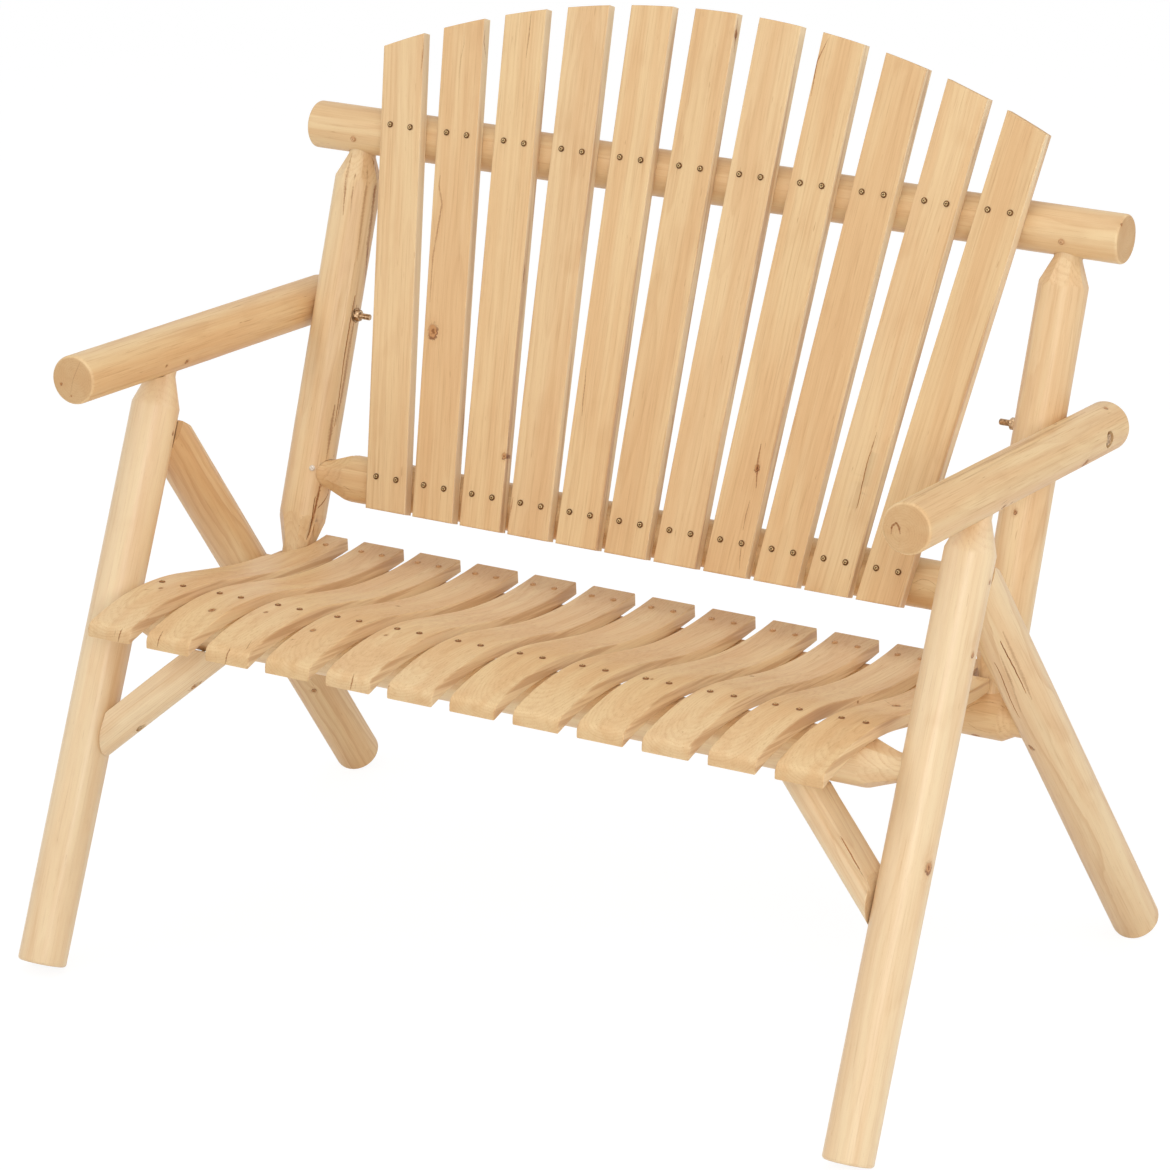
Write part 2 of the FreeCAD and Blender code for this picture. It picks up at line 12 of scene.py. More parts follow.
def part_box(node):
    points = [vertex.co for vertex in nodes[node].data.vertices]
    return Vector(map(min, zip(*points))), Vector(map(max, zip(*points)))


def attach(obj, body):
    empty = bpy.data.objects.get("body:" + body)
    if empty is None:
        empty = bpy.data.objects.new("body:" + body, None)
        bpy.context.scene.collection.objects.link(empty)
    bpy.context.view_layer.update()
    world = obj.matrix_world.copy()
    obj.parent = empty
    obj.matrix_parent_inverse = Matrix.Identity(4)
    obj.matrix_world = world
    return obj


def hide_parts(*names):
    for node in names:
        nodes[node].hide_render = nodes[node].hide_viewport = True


# Looks of the rustic log bench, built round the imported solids. Metres, row frame.

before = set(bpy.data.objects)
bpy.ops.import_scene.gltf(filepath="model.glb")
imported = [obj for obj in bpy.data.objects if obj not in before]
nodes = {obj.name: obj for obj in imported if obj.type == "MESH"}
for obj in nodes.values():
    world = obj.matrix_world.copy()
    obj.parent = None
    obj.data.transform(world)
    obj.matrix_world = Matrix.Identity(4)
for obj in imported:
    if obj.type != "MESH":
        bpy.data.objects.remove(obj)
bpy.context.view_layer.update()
scene = bpy.context.scene
for leftover in ("Cube", "Light", "Camera"):
    if leftover in bpy.data.objects:
        bpy.data.objects.remove(bpy.data.objects[leftover])

MM = 0.001
RIGHT = Vector((1, 0, 0))
UP = Vector((0, 0, 1))

# Frame of the bench, as in the part's source
LOG_R = 30*MM
LEG_X = 544.5*MM
POST_X = 484.2*MM
REAR_LEG_TOP_X = 541.3*MM
ARM_HEIGHT = 709.4*MM
FRONT_UP = Vector((0, sin(radians(23.6)), cos(radians(23.6))))
BACK_UP = Vector((0, sin(radians(19.5)), cos(radians(19.5))))
ARM_WAY = Vector((0, cos(radians(3.76)), -sin(radians(3.76))))
REAR_DOWN = Vector((tan(radians(3.0)), 1, -1/tan(radians(38.7)))).normalized()


def middle(node):
    """Middle of a node's box."""
    low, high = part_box(node)
    return (low + high)/2


def new_object(name, data):
    """Object with some data, in the scene."""
    made = bpy.data.objects.new(name, data)
    scene.collection.objects.link(made)
    return made


def heading(azimuth, elevation):
    """Direction from the bench: azimuth from the front towards its right, elevation from level."""
    return Vector((sin(azimuth)*cos(elevation), -cos(azimuth)*cos(elevation), sin(elevation)))


def local_axes(way, towards):
    """Rotation whose Z runs along the grain and whose X leans to a direction."""
    z = way.normalized()
    x = (towards - z*towards.dot(z)).normalized()
    return Matrix((x, z.cross(x), z)).transposed()


def long_axis(points):
    """Middle and long direction of a cloud of points."""
    centre = points.mean(0)
    return centre, Vector(np.linalg.eigh(np.cov((points - centre).T))[1][:, -1])


# Camera, fitted to the photograph

CAMERA_PLACE = Vector((2.5477, -4.6068, 2.3608))
CAMERA_AZIMUTH = 0.5057
CAMERA_ELEVATION = 0.3438
CAMERA_ROLL = 0.0043
CAMERA_SIGHT = 100
PHOTO_SIDE = 1170
FOCAL_PX = 4673.4
SENSOR = 36.0

camera_back = heading(CAMERA_AZIMUTH, CAMERA_ELEVATION)
level = Vector((cos(CAMERA_AZIMUTH), sin(CAMERA_AZIMUTH), 0))
upright = camera_back.cross(level)
camera_right = level*cos(CAMERA_ROLL) + upright*sin(CAMERA_ROLL)
camera_up = upright*cos(CAMERA_ROLL) - level*sin(CAMERA_ROLL)
camera_turn = Matrix((camera_right, camera_up, camera_back)).transposed().to_quaternion()
camera_data = bpy.data.cameras.new("camera")
camera_data.sensor_width = SENSOR
camera_data.lens = SENSOR*FOCAL_PX/PHOTO_SIDE
camera_data.clip_end = CAMERA_SIGHT
scene.camera = new_object("camera", camera_data)
scene.camera.matrix_world = Matrix.LocRotScale(CAMERA_PLACE, camera_turn, None)


@cache
def tree_of(node):
    """Search tree over a node's faces."""
    mesh = nodes[node].data
    return BVHTree.FromPolygons([v.co for v in mesh.vertices],
                                [tuple(p.vertices) for p in mesh.polygons])


def on_photo(node, pixel):
    """Point and normal of a node's surface at a pixel of the photograph."""
    across = (pixel[0] - PHOTO_SIDE/2)/FOCAL_PX
    rise = (PHOTO_SIDE/2 - pixel[1])/FOCAL_PX
    way = (camera_right*across + camera_up*rise - camera_back).normalized()
    place, normal, _, _ = tree_of(node).ray_cast(CAMERA_PLACE, way)
    if place is None:
        reach = (middle(node) - CAMERA_PLACE).dot(way)
        place, normal, _, _ = tree_of(node).find_nearest(CAMERA_PLACE + way*reach)
    return place, normal


# Node graphs

def srgb(red, green, blue):
    """Linear colour of an 8-bit display colour."""
    parts = []
    for part in (red, green, blue):
        part = part/255
        parts.append(part/12.92 if part <= 0.04045 else ((part + 0.055)/1.055)**2.4)
    return (*parts, 1)


def between(a, b, share):
    """Colour at a share of the way from one colour to another."""
    return tuple(x + (y - x)*share for x, y in zip(a, b))


class Graph:
    """Short names for building a node tree."""

    def __init__(self, tree):
        self.tree = tree

    def node(self, kind, inputs=None, **settings):
        """New shader node with its settings, and values or links for its named inputs."""
        made = self.tree.nodes.new("ShaderNode" + kind)
        for key, value in settings.items():
            setattr(made, key, value)
        for name, value in (inputs or {}).items():
            self.put(made.inputs[name], value)
        return made

    def put(self, socket, value):
        if isinstance(value, bpy.types.NodeSocket):
            self.tree.links.new(value, socket)
        else:
            socket.default_value = value

    def fill(self, made, values):
        """Puts values in a node's first inputs."""
        for socket, value in zip(made.inputs, values):
            self.put(socket, value)
        return made

    def math(self, operation, *values):
        return self.fill(self.node("Math", operation=operation), values).outputs[0]

    def plus(self, a, b):
        return self.math("ADD", a, b)

    def times(self, a, b):
        return self.math("MULTIPLY", a, b)

    def vector(self, operation, *values, out=0):
        made = self.node("VectorMath", operation=operation)
        return self.fill(made, values).outputs[out]

    def dot(self, a, b):
        return self.vector("DOT_PRODUCT", a, b, out=1)

    def length(self, vector):
        return self.vector("LENGTH", vector, out=1)

    def scale(self, vector, factor):
        made = self.node("VectorMath", {"Scale": factor}, operation="SCALE")
        return self.fill(made, (vector,)).outputs[0]

    def noise(self, vector, scale=1.0, detail=2.0, roughness=0.5, out="Fac"):
        return self.node("TexNoise", {
            "Vector": vector, "Scale": scale, "Detail": detail, "Roughness": roughness,
        }).outputs[out]

    def span(self, value, low, high, to_low=0.0, to_high=1.0, smooth=True):
        """A value's range carried over to another range, eased unless smooth is off."""
        kind = "SMOOTHSTEP" if smooth else "LINEAR"
        made = self.node("MapRange", interpolation_type=kind)
        return self.fill(made, (value, low, high, to_low, to_high)).outputs["Result"]

    def mix(self, factor, a, b, blend="MIX"):
        return self.node("Mix", {"Factor": factor, "A": a, "B": b},
                         data_type="RGBA", blend_type=blend).outputs["Result"]

    def ramp(self, value, stops):
        """Grey level along eased (place, level) stops."""
        made = self.node("ValToRGB", {"Fac": value})
        made.color_ramp.interpolation = "EASE"
        elements = made.color_ramp.elements
        while len(elements) < len(stops):
            elements.new(0.5)
        for element, (place, grey) in zip(elements, stops):
            element.position = place
            element.color = (grey, grey, grey, 1)
        return made.outputs["Color"]

    def most(self, masks):
        """Largest of several values, or none."""
        top = None
        for mask in masks:
            top = mask if top is None else self.math("MAXIMUM", top, mask)
        return top

    def bump(self, height, strength, depth):
        return self.node("Bump", {
            "Height": height, "Strength": strength, "Distance": depth}).outputs[0]

    def principled(self, inputs):
        """Ends a material in a shader."""
        shader = self.node("BsdfPrincipled", inputs)
        self.node("OutputMaterial", {"Surface": shader.outputs[0]})


def blank(owner):
    """Graph of a material's or world's emptied node tree."""
    owner.use_nodes = True
    owner.node_tree.nodes.clear()
    return Graph(owner.node_tree)


# Wood. Lengths in its graphs are millimetres.

PALE = srgb(234, 203, 154)
WARM = srgb(226, 187, 137)
MILK = srgb(244, 224, 189)
LATE = srgb(205, 158, 109)
STREAK = srgb(178, 124, 77)
END_TONE = srgb(194, 152, 105)
KNOT_TONE = srgb(184, 118, 60)
KNOT_RIM_AND_SHADE = srgb(124, 68, 28)
TORN_AND_SHADE = srgb(172, 126, 80)

# Noises drawn out along the grain: size across, size along, detail, roughness
SLOW_BEND = (85, 330, 1.0, 0.5)
QUICK_BEND = (22, 95, 2.0, 0.5)
FIBRE = (1.5, 70, 3.0, 0.6)
PORES = (0.45, 11, 2.0, 0.5)
BROAD = (24, 420, 2.0, 0.5)
BAND = (9, 240, 3.0, 0.55)
FLECK = (2.6, 30, 2.0, 0.6)
PATCH = (40, 75, 2.0, 0.5)

SLOW_WAY = (15, 15, 0)
QUICK_WAY = (3.0, 3.0, 0)
WANDER = 1.1
RING_PROFILE = ((0.0, 0.14), (0.4, 0.08), (0.8, 0.75), (0.92, 1.0), (1.0, 0.14))
PIT_CELLS = (1/7, 1/7, 1/19)
SAW_MARKS = (1/1.1, 1/45, 0)
ARRIS_WIDTH = 2.2
ARRIS_WORN = 0.4
LINE_END = 0.3
KNOT_STRETCH = (1, 1, 0.7)
# Direction of the painted shade on one side of a knot's rim
KNOT_SHADE = (0.55, 0.2, -0.8)
KNOT_ROOT = (-14.0, -8.0)
WOOD_BUMP = 0.4*MM
METAL_BUMP = 0.1*MM


def knot_group():
    """Shared group: where a point lies in a knot that grows out through the surface, with painted shade
    darkening one side of its rim.
    """
    tree = bpy.data.node_groups.new("knot", "ShaderNodeTree")
    for side, kind, names in (("INPUT", "NodeSocketVector", ("Point", "Centre", "Axis")),
                              ("INPUT", "NodeSocketFloat", ("Radius", "Wander")),
                              ("OUTPUT", "NodeSocketFloat", ("Inside", "RimAndShade", "Swell", "Near"))):
        for name in names:
            tree.interface.new_socket(name, in_out=side, socket_type=kind)
    g = Graph(tree)
    given = tree.nodes.new("NodeGroupInput").outputs
    apart = g.vector("SUBTRACT", given["Point"], given["Centre"])
    depth = g.dot(apart, given["Axis"])
    flat = g.vector("SUBTRACT", apart, g.scale(given["Axis"], depth))
    flat = g.vector("MULTIPLY", flat, KNOT_STRETCH)
    reach = g.plus(g.math("DIVIDE", g.length(flat), given["Radius"]), given["Wander"])
    shown = g.span(depth, *KNOT_ROOT)
    heart = g.span(reach, 0.55, 0.15)
    # Painted shade: the rim is darkest on the side towards KNOT_SHADE, a shaded crescent.
    side = g.math("DIVIDE", g.dot(flat, KNOT_SHADE), given["Radius"])
    rim = g.times(g.span(reach, 0.6, 0.9), g.span(reach, 1.3, 1.0))
    rim = g.times(rim, g.span(side, -0.5, 0.5, 0.25, 1.0))
    rim = g.times(g.math("MAXIMUM", rim, g.times(heart, 0.9)), shown)
    swell = g.math("EXPONENT", g.times(g.math("POWER", reach, 2.0), -0.28))
    inside = g.times(g.span(reach, 1.0, 0.7), shown)
    swell = g.times(g.times(swell, shown), given["Radius"])
    near = g.times(g.span(reach, 2.6, 0.9), shown)
    g.fill(tree.nodes.new("NodeGroupOutput"), (inside, rim, swell, near))
    return tree


KNOT = knot_group()


def drawn_out(g, p, across, along, detail, roughness, out="Fac"):
    """Noise stretched along the grain."""
    stretched = g.vector("MULTIPLY", p, (1/across, 1/across, 1/along))
    return g.noise(stretched, 1.0, detail, roughness, out)


def line_mask(g, p, start, end, widths, wander):
    """1 on a straight line between two places, fading to 0 at a width beside it."""
    run = end - start
    apart = g.vector("SUBTRACT", p, start)
    share = g.dot(apart, run/run.length_squared)
    share = g.math("MINIMUM", g.math("MAXIMUM", share, 0.0), 1.0)
    reach = g.length(g.vector("SUBTRACT", apart, g.scale(run, share)))
    width = g.math("MULTIPLY_ADD", share, widths[1] - widths[0], widths[0])
    reach = g.plus(g.math("DIVIDE", reach, width), wander)
    return g.span(reach, 1.0, 0.1)


def dark_line(g, p, places, width, strength, wander):
    """Masks of a dark line through places, thin at its ends."""
    if len(places) == 2:
        places.insert(1, (places[0] + places[1])/2)
    taper = [LINE_END*width, *[width]*(len(places) - 2), LINE_END*width]
    return [g.times(line_mask(g, p, a, b, widths, wander), strength)
            for a, b, *widths in zip(places, places[1:], taper, taper[1:])]


def late_wood(g, reach, ring, seed):
    """High in the dark part of each year's ring, weaker in some years."""
    turn = g.math("DIVIDE", reach, ring)
    year = g.plus(g.math("FLOOR", turn), float(seed))
    chance = g.node("TexWhiteNoise", {"W": year}, noise_dimensions="1D").outputs["Value"]
    strength = g.span(chance, 0.0, 1.0, 0.3, 1.0, smooth=False)
    return g.times(g.ramp(g.math("FRACT", turn), RING_PROFILE), strength)


def wood(name, point, way, pith, towards, ring, seed, contrast, streaks, gloss, tone=0.0, milk=0.0,
         sawn_share=0.6, knots=(), lines=(), slat_half=None, pale_sides=0.0):
    """Solid wood: rings round a wandering pith, fibres along it, knots, and dark lines where named, which
    are torn grain and, on one brace, painted shade.

    pith is the tree's middle beside the point, ring the width of a year. Contrast is that of the
    rings, tone darkens, milk pales. A slat gives its half width and how far painted light pales
    its side faces.
    """
    material = bpy.data.materials.new(name)
    g = blank(material)
    axes = local_axes(way, towards)
    inverse = axes.transposed()
    origin = point + axes @ Vector((pith[0]*MM, pith[1]*MM, 0))
    coordinates = g.node("TexCoord").outputs
    p = g.node("Mapping", {
        "Vector": coordinates["Object"], "Location": origin, "Rotation": axes.to_euler(),
        "Scale": (MM, MM, MM)}, vector_type="TEXTURE").outputs[0]
    shifted = g.vector("ADD", p, (seed*37.0, seed*-53.0, seed*211.0))

    def local(place):
        return inverse @ (place - origin)/MM

    # Rings round the bent pith, pushed outwards by knots
    centred = [g.vector("SUBTRACT", drawn_out(g, shifted, *size, out="Color"), (0.5, 0.5, 0.5))
               for size in (SLOW_BEND, QUICK_BEND)]
    bend, ripple = (g.vector("MULTIPLY", colour, reach)
                    for colour, reach in zip(centred, (SLOW_WAY, QUICK_WAY)))
    bent = g.vector("ADD", g.vector("ADD", p, bend), ripple)
    reach = g.length(g.vector("MULTIPLY", bent, (1, 1, 0)))
    wander = g.noise(shifted, scale=0.4)
    wander = g.times(g.math("SUBTRACT", wander, 0.5), WANDER)
    found = []
    for place, normal, radius in knots:
        found.append(g.node("Group", {
            "Point": p, "Wander": wander, "Centre": local(place), "Axis": inverse @ normal,
            "Radius": radius}, node_tree=KNOT).outputs)
        reach = g.plus(reach, found[-1]["Swell"])
    late = late_wood(g, reach, ring, seed)

    fibre, pores, broad, band, fleck, patch = (
        drawn_out(g, shifted, *size) for size in (FIBRE, PORES, BROAD, BAND, FLECK, PATCH))
    cells = g.node("TexVoronoi", {"Vector": g.vector("MULTIPLY", shifted, PIT_CELLS)}).outputs
    pit = g.span(g.dot(cells["Color"], (1, 0, 0)), 0.8, 0.86)
    pit = g.times(g.span(cells["Distance"], 0.11, 0.05), pit)
    light, warm = between(PALE, MILK, milk), between(WARM, MILK, 0.7*milk)
    base = light
    for mask, colour in (
        (g.span(broad, 0.36, 0.64), warm),
        (g.span(band, 0.5, 0.75, 0.0, 0.5*streaks), LATE),
        (g.span(patch, 0.55, 0.8, 0.0, 0.3), LATE),
        (tone, LATE),
        (g.times(late, contrast), LATE),
        (g.span(fibre, 0.52, 0.8, 0.0, 0.6*streaks), STREAK),
        (g.span(fibre, 0.5, 0.22, 0.0, 0.35), light),
        (g.span(pores, 0.62, 0.78, 0.0, 0.25), STREAK),
        (g.span(fleck, 0.7, 0.78, 0.0, 0.8*streaks), STREAK),
        (g.times(pit, 0.6), STREAK),
    ):
        base = g.mix(mask, base, colour)
    if slat_half:
        # Painted light: a slat's side faces are paled towards MILK, standing in for light that reaches
        # them.
        side = g.math("ABSOLUTE", g.dot(coordinates["Normal"], tuple(axes.col[0])))
        base = g.mix(g.times(g.span(side, 0.75, 0.95), pale_sides), base, MILK)
        across = g.math("ABSOLUTE", g.plus(g.dot(p, (1, 0, 0)), float(pith[0])))
        arris = g.span(across, slat_half - ARRIS_WIDTH, slat_half - ARRIS_WORN)
        arris = g.times(arris, g.span(band, 0.47, 0.6))
        base = g.mix(g.times(arris, 0.45), base, STREAK)

    # Sawn ends, knots, and dark lines of torn grain and painted shade
    facing = g.math("ABSOLUTE", g.dot(coordinates["Normal"], tuple(way.normalized())))
    end = g.span(facing, 0.75, 0.97)
    saw = g.noise(g.vector("MULTIPLY", shifted, SAW_MARKS))
    sawn = g.mix(g.times(late, 0.4), END_TONE, STREAK)
    sawn = g.mix(g.span(saw, 0.45, 0.75, 0.0, 0.3), sawn, LATE)
    base = g.mix(g.times(end, sawn_share), base, sawn)
    rough = g.plus(g.span(fibre, 0.3, 0.7, 0.42, 0.54, smooth=False), g.times(end, 0.2))
    if found:
        near, inside, rim = (g.most(knot[mask] for knot in found) for mask in ("Near", "Inside", "RimAndShade"))
        base = g.mix(g.times(near, 0.3), base, LATE)
        base = g.mix(g.times(inside, 0.6), base, KNOT_TONE)
        # Knot rims and hearts take the rim colour, together with a crescent of painted shade.
        base = g.mix(g.times(rim, 0.85), base, KNOT_RIM_AND_SHADE)
        rough = g.plus(rough, g.times(inside, 0.25))
    if lines:
        torn = g.most(mask for places, *line in lines
                      for mask in dark_line(g, p, [local(place) for place in places], *line, wander))
        torn = g.times(torn, g.span(fibre, 0.3, 0.6, 0.45, 1.0))
        base = g.mix(torn, base, TORN_AND_SHADE, "MULTIPLY")

    height = g.plus(g.times(fibre, 0.6), g.times(late, 0.25))
    height = g.plus(height, g.times(pores, -0.25))
    height = g.plus(height, g.times(g.times(saw, end), 0.6))
    g.principled({
        "Base Color": base, "Roughness": rough, "Normal": g.bump(height, 0.4, WOOD_BUMP),
        "Specular IOR Level": 0.3, "Coat Weight": gloss, "Coat Roughness": 0.34,
    })
    return material


def metal(name, bright, dull, rough, scale, metallic=1.0):
    """Plated steel with cloudy tarnish, from two display colours."""
    material = bpy.data.materials.new(name)
    g = blank(material)
    coordinates = g.node("TexCoord").outputs["Object"]
    cloud = g.noise(coordinates, scale, 4.0, 0.6)
    fine = g.noise(coordinates, scale*9)
    g.principled({
        "Metallic": metallic,
        "Base Color": g.mix(g.span(cloud, 0.35, 0.65), srgb(*dull), srgb(*bright)),
        "Roughness": g.span(fine, 0.2, 0.8, rough - 0.08, rough + 0.12),
        "Normal": g.bump(fine, 0.15, METAL_BUMP),
    })
    return material


def crack_material():
    """Torn wood inside a drying crack, darkened with painted shade."""
    material = bpy.data.materials.new("crack")
    g = blank(material)
    cloud = g.noise(g.node("TexCoord").outputs["Object"], 260.0, 4.0)
    g.principled({
        "Base Color": g.mix(g.span(cloud, 0.3, 0.7), srgb(160, 98, 46), srgb(198, 138, 80)),
        "Roughness": g.span(cloud, 0.2, 0.8, 0.7, 0.9),
    })
    return material


CRACK_WOOD_AND_SHADE = crack_material()
# Screw heads have a rim finish and a paler crown finish; the crown finish is a painted highlight.
BRONZE = metal("bronzed_steel", (122, 82, 42), (78, 50, 24), 0.45, 420.0, 0.7)
BRONZE_CROWN_HIGHLIGHT = metal("bronze_crown_highlight", (236, 208, 158), (206, 172, 118), 0.42, 420.0, 0.7)
BROWN_RIM = metal("brown_rim", (158, 108, 64), (118, 76, 42), 0.45, 420.0, 0.4)
TAN_COAT_HIGHLIGHT = metal("tan_coat_highlight", (236, 200, 156), (214, 172, 126), 0.5, 380.0, 0.1)
TAN_RIM = metal("tan_rim", (208, 162, 114), (182, 134, 88), 0.5, 380.0, 0.1)
# Painted glint: the near-white crown of the low rail lock screws.
ZINC_GLINT = metal("zinc_glint", (254, 253, 250), (244, 241, 234), 0.4, 300.0, 0.0)
GREY_RIM = metal("grey_rim", (236, 226, 212), (216, 202, 182), 0.4, 300.0, 0.1)
BRASSY = metal("brassy_zinc", (216, 184, 146), (150, 120, 90), 0.38, 300.0)


# Meshes

WELD = 0.002*MM
CUT_TOLERANCE = 0.001*MM
SAME_PLANE = 3
CRACK_STEP = 4*MM
CRACK_FEATHER = 9
RING_STEP = 9*MM
NECK_STEP = 3*MM
RING_WELD = 0.12*MM
SLIVER = 0.05*MM
LEVEL_STEP = 0.02*MM
RING_CORNERS = 30
SNAP = 0.6*MM
SCALLOP = 9*MM
FACET_EASE = 8*MM
FACET_NEAR = radians(9)
WOBBLE = 0.5*MM
FLAT_COUNT = 5
FLAT_EASE = 45*MM
LOG_SHARP = 26
SLAT_SHARP = 30
METAL_SHARP = 32


def cad_copy(node):
    """A node's mesh as one closed surface."""
    mesh = bmesh.new()
    mesh.from_mesh(nodes[node].data)
    bmesh.ops.remove_doubles(mesh, verts=mesh.verts, dist=WELD)
    bmesh.ops.dissolve_limit(mesh, angle_limit=radians(SAME_PLANE), verts=mesh.verts, edges=mesh.edges)
    for face in mesh.faces:
        face.material_index = 0
    return mesh


def cut_all(mesh, point, normal):
    everything = mesh.verts[:] + mesh.edges[:] + mesh.faces[:]
    bmesh.ops.bisect_plane(mesh, geom=everything, dist=CUT_TOLERANCE, plane_co=point, plane_no=normal)


def cut_some(mesh, faces, point, normal):
    """Cuts only some faces, and returns what they became."""
    geometry = {v for f in faces for v in f.verts} | {e for f in faces for e in f.edges}
    result = bmesh.ops.bisect_plane(mesh, geom=list(geometry) + faces, dist=CUT_TOLERANCE,
                                    plane_co=point, plane_no=normal)
    return [part for part in result["geom"] if isinstance(part, bmesh.types.BMFace)]


def slice_up(mesh, faces, point, way, places):
    """Cuts faces crosswise at sorted places along a direction, halving the work at each cut."""
    if not places or not faces:
        return
    half = len(places)//2
    below = []
    above = []
    for face in cut_some(mesh, faces, point + way*places[half], way):
        low = (face.calc_center_median() - point).dot(way) < places[half]
        (below if low else above).append(face)
    slice_up(mesh, below, point, way, places[:half])
    slice_up(mesh, above, point, way, places[half + 1:])


def steps_between(low, high):
    """Places from low to high, close enough for a crack to bend."""
    steps = max(4, int((high - low)/CRACK_STEP))
    return [low + (high - low)*n/steps for n in range(steps + 1)]


def stand_in(node, ending, data):
    """Puts a mesh in the scene as the piece that stands for a node."""
    piece = new_object(node + ending, data)
    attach(piece, "root")
    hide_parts(node)


def finish_wood(mesh, node, material, degrees):
    """Smooth piece of wood with hard edges where faces meet at more than an angle."""
    for face in mesh.faces:
        face.smooth = True
    for edge in mesh.edges:
        edge.smooth = len(edge.link_faces) == 2 and edge.calc_face_angle(pi) < radians(degrees)
    data = bpy.data.meshes.new(node + "_wood")
    mesh.to_mesh(data)
    mesh.free()
    if "custom_normal" in data.attributes:
        data.attributes.remove(data.attributes["custom_normal"])
    data.materials.append(material)
    data.materials.append(CRACK_WOOD_AND_SHADE)
    stand_in(node, "_wood", data)


class Grain:
    """Axes of a piece of wood: from a point, Z along its grain, X towards a direction."""

    def __init__(self, point, way, towards):
        self.point = point
        self.way = way.normalized()
        self.axes = local_axes(way, towards)
        self.inverse = self.axes.transposed()

    def spot(self, co):
        """A place of the scene in the piece's axes."""
        return self.inverse @ (co - self.point)

    def place(self, x, y, z):
        """A spot of the piece's axes in the scene."""
        return self.point + self.axes @ Vector((x, y, z))


class RoundGrain(Grain):
    """Axes of a log, where across is the angle round it."""

    across_unit = LOG_R

    def place_of(self, co):
        """Across and along of a place."""
        spot = self.spot(co)
        return atan2(spot.y, spot.x), spot.z

    def cut_along(self, mesh, angle):
        """Cuts a log through its middle at an angle."""
        cut_all(mesh, self.point, self.axes @ Vector((-sin(angle), cos(angle), 0)))

    def cut_crosswise(self, mesh, low, high):
        slice_up(mesh, mesh.faces[:], self.point, self.way, steps_between(low, high))

    def shift(self, v, angle):
        """Moves a vertex across."""
        spot = self.spot(v.co)
        c, s = cos(angle), sin(angle)
        v.co = self.place(spot.x*c - spot.y*s, spot.x*s + spot.y*c, spot.z)

    def inward(self, v):
        """Direction into the wood, or None where a crack doesn't open."""
        spot = self.spot(v.co)
        flat = Vector((spot.x, spot.y, 0))
        return self.axes @ -flat.normalized() if flat.length >= 0.5*LOG_R else None


class FlatGrain(Grain):
    """Axes of a slat, where X is the direction out of its face and across is along Y."""

    across_unit = 1

    def __init__(self, point, way, front):
        super().__init__(point, way, front)
        self.front = front

    def place_of(self, co):
        spot = self.spot(co)
        return spot.y, spot.z

    def cut_along(self, mesh, across):
        side = self.axes @ Vector((0, 1, 0))
        cut_all(mesh, self.point + side*across, side)

    def cut_crosswise(self, mesh, low, high):
        for along in steps_between(low, high):
            cut_all(mesh, self.point + self.way*along, self.way)

    def shift(self, v, across):
        v.co += self.axes @ Vector((0, across, 0))

    def inward(self, v):
        return -v.normal if v.normal.dot(self.front) > 0.8 else None


def open_cracks(mesh, grain, node, cracks):
    """Opens drying cracks: cuts along and across each one, and sinks its middle into a groove."""
    for pixels, width, depth in cracks:
        points = sorted(grain.place_of(on_photo(node, pixel)[0])[::-1] for pixel in pixels)
        half = width*MM/2/grain.across_unit
        low, high = points[0][0], points[-1][0]
        course = [value for _, value in points]
        centre = sum(course)/len(course)
        for offset in (-half, 0, half):
            grain.cut_along(mesh, centre + offset)
        grain.cut_crosswise(mesh, low, high)
        mesh.verts.ensure_lookup_table()
        bottoms = []
        torn = set()
        for v in mesh.verts:
            across, along = grain.place_of(v.co)
            if not low < along < high or grain.inward(v) is None:
                continue
            apart = across - centre
            if abs(apart) < 1.02*half:
                torn.add(v)
            share = (along - low)/(high - low)
            swell = max(0.0, 4*share*(1 - share))**0.5
            if abs(apart) < 0.1*half:
                bottoms.append((v, swell))
            fade = exp(-(apart/(CRACK_FEATHER*half))**2)*swell
            drift = float(np.interp(along, [z for z, _ in points], course)) - centre
            drift += half*1.1*noise.noise(Vector((along*160, centre*50, 3.1)))
            squeeze = -apart*(1 - swell)*0.8 if abs(apart) < 1.5*half else 0
            grain.shift(v, drift*fade + squeeze)
        # Faces inside the crack take the crack finish: torn wood darkened with painted shade.
        for face in mesh.faces:
            if all(v in torn for v in face.verts):
                face.material_index = 1
        for v, swell in bottoms:
            v.co += grain.inward(v)*(depth*MM)*swell


def true_rings(mesh, grain):
    """Moves the corners of each turned ring out to one radius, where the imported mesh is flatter."""
    mesh.verts.ensure_lookup_table()
    spots = np.array([grain.spot(v.co) for v in mesh.verts])
    reach = np.hypot(spots[:, 0], spots[:, 1])
    levels = np.round(spots[:, 2]/LEVEL_STEP).astype(int)
    order = np.argsort(levels, kind="stable")
    starts = np.flatnonzero(np.diff(levels[order], prepend=levels[order][0] - 1))
    for ring in np.split(order, starts[1:]):
        if len(ring) > RING_CORNERS:
            true = reach[ring].max()
            for n in ring:
                if true - SNAP < reach[n] < true:
                    grow = spots[n, :2]*(true/reach[n] - 1)
                    mesh.verts[n].co += grain.axes @ Vector((grow[0], grow[1], 0))


def facet_edges(seed):
    """Angles at which the facets of a whittled end meet."""
    start = seed*0.7
    edges = [start]
    while edges[-1] < start + 2*pi - radians(52):
        edges.append(edges[-1] + radians(36 + 14*abs(sin(seed*1.3 + len(edges)*2.1))))
    return edges + [start + 2*pi]


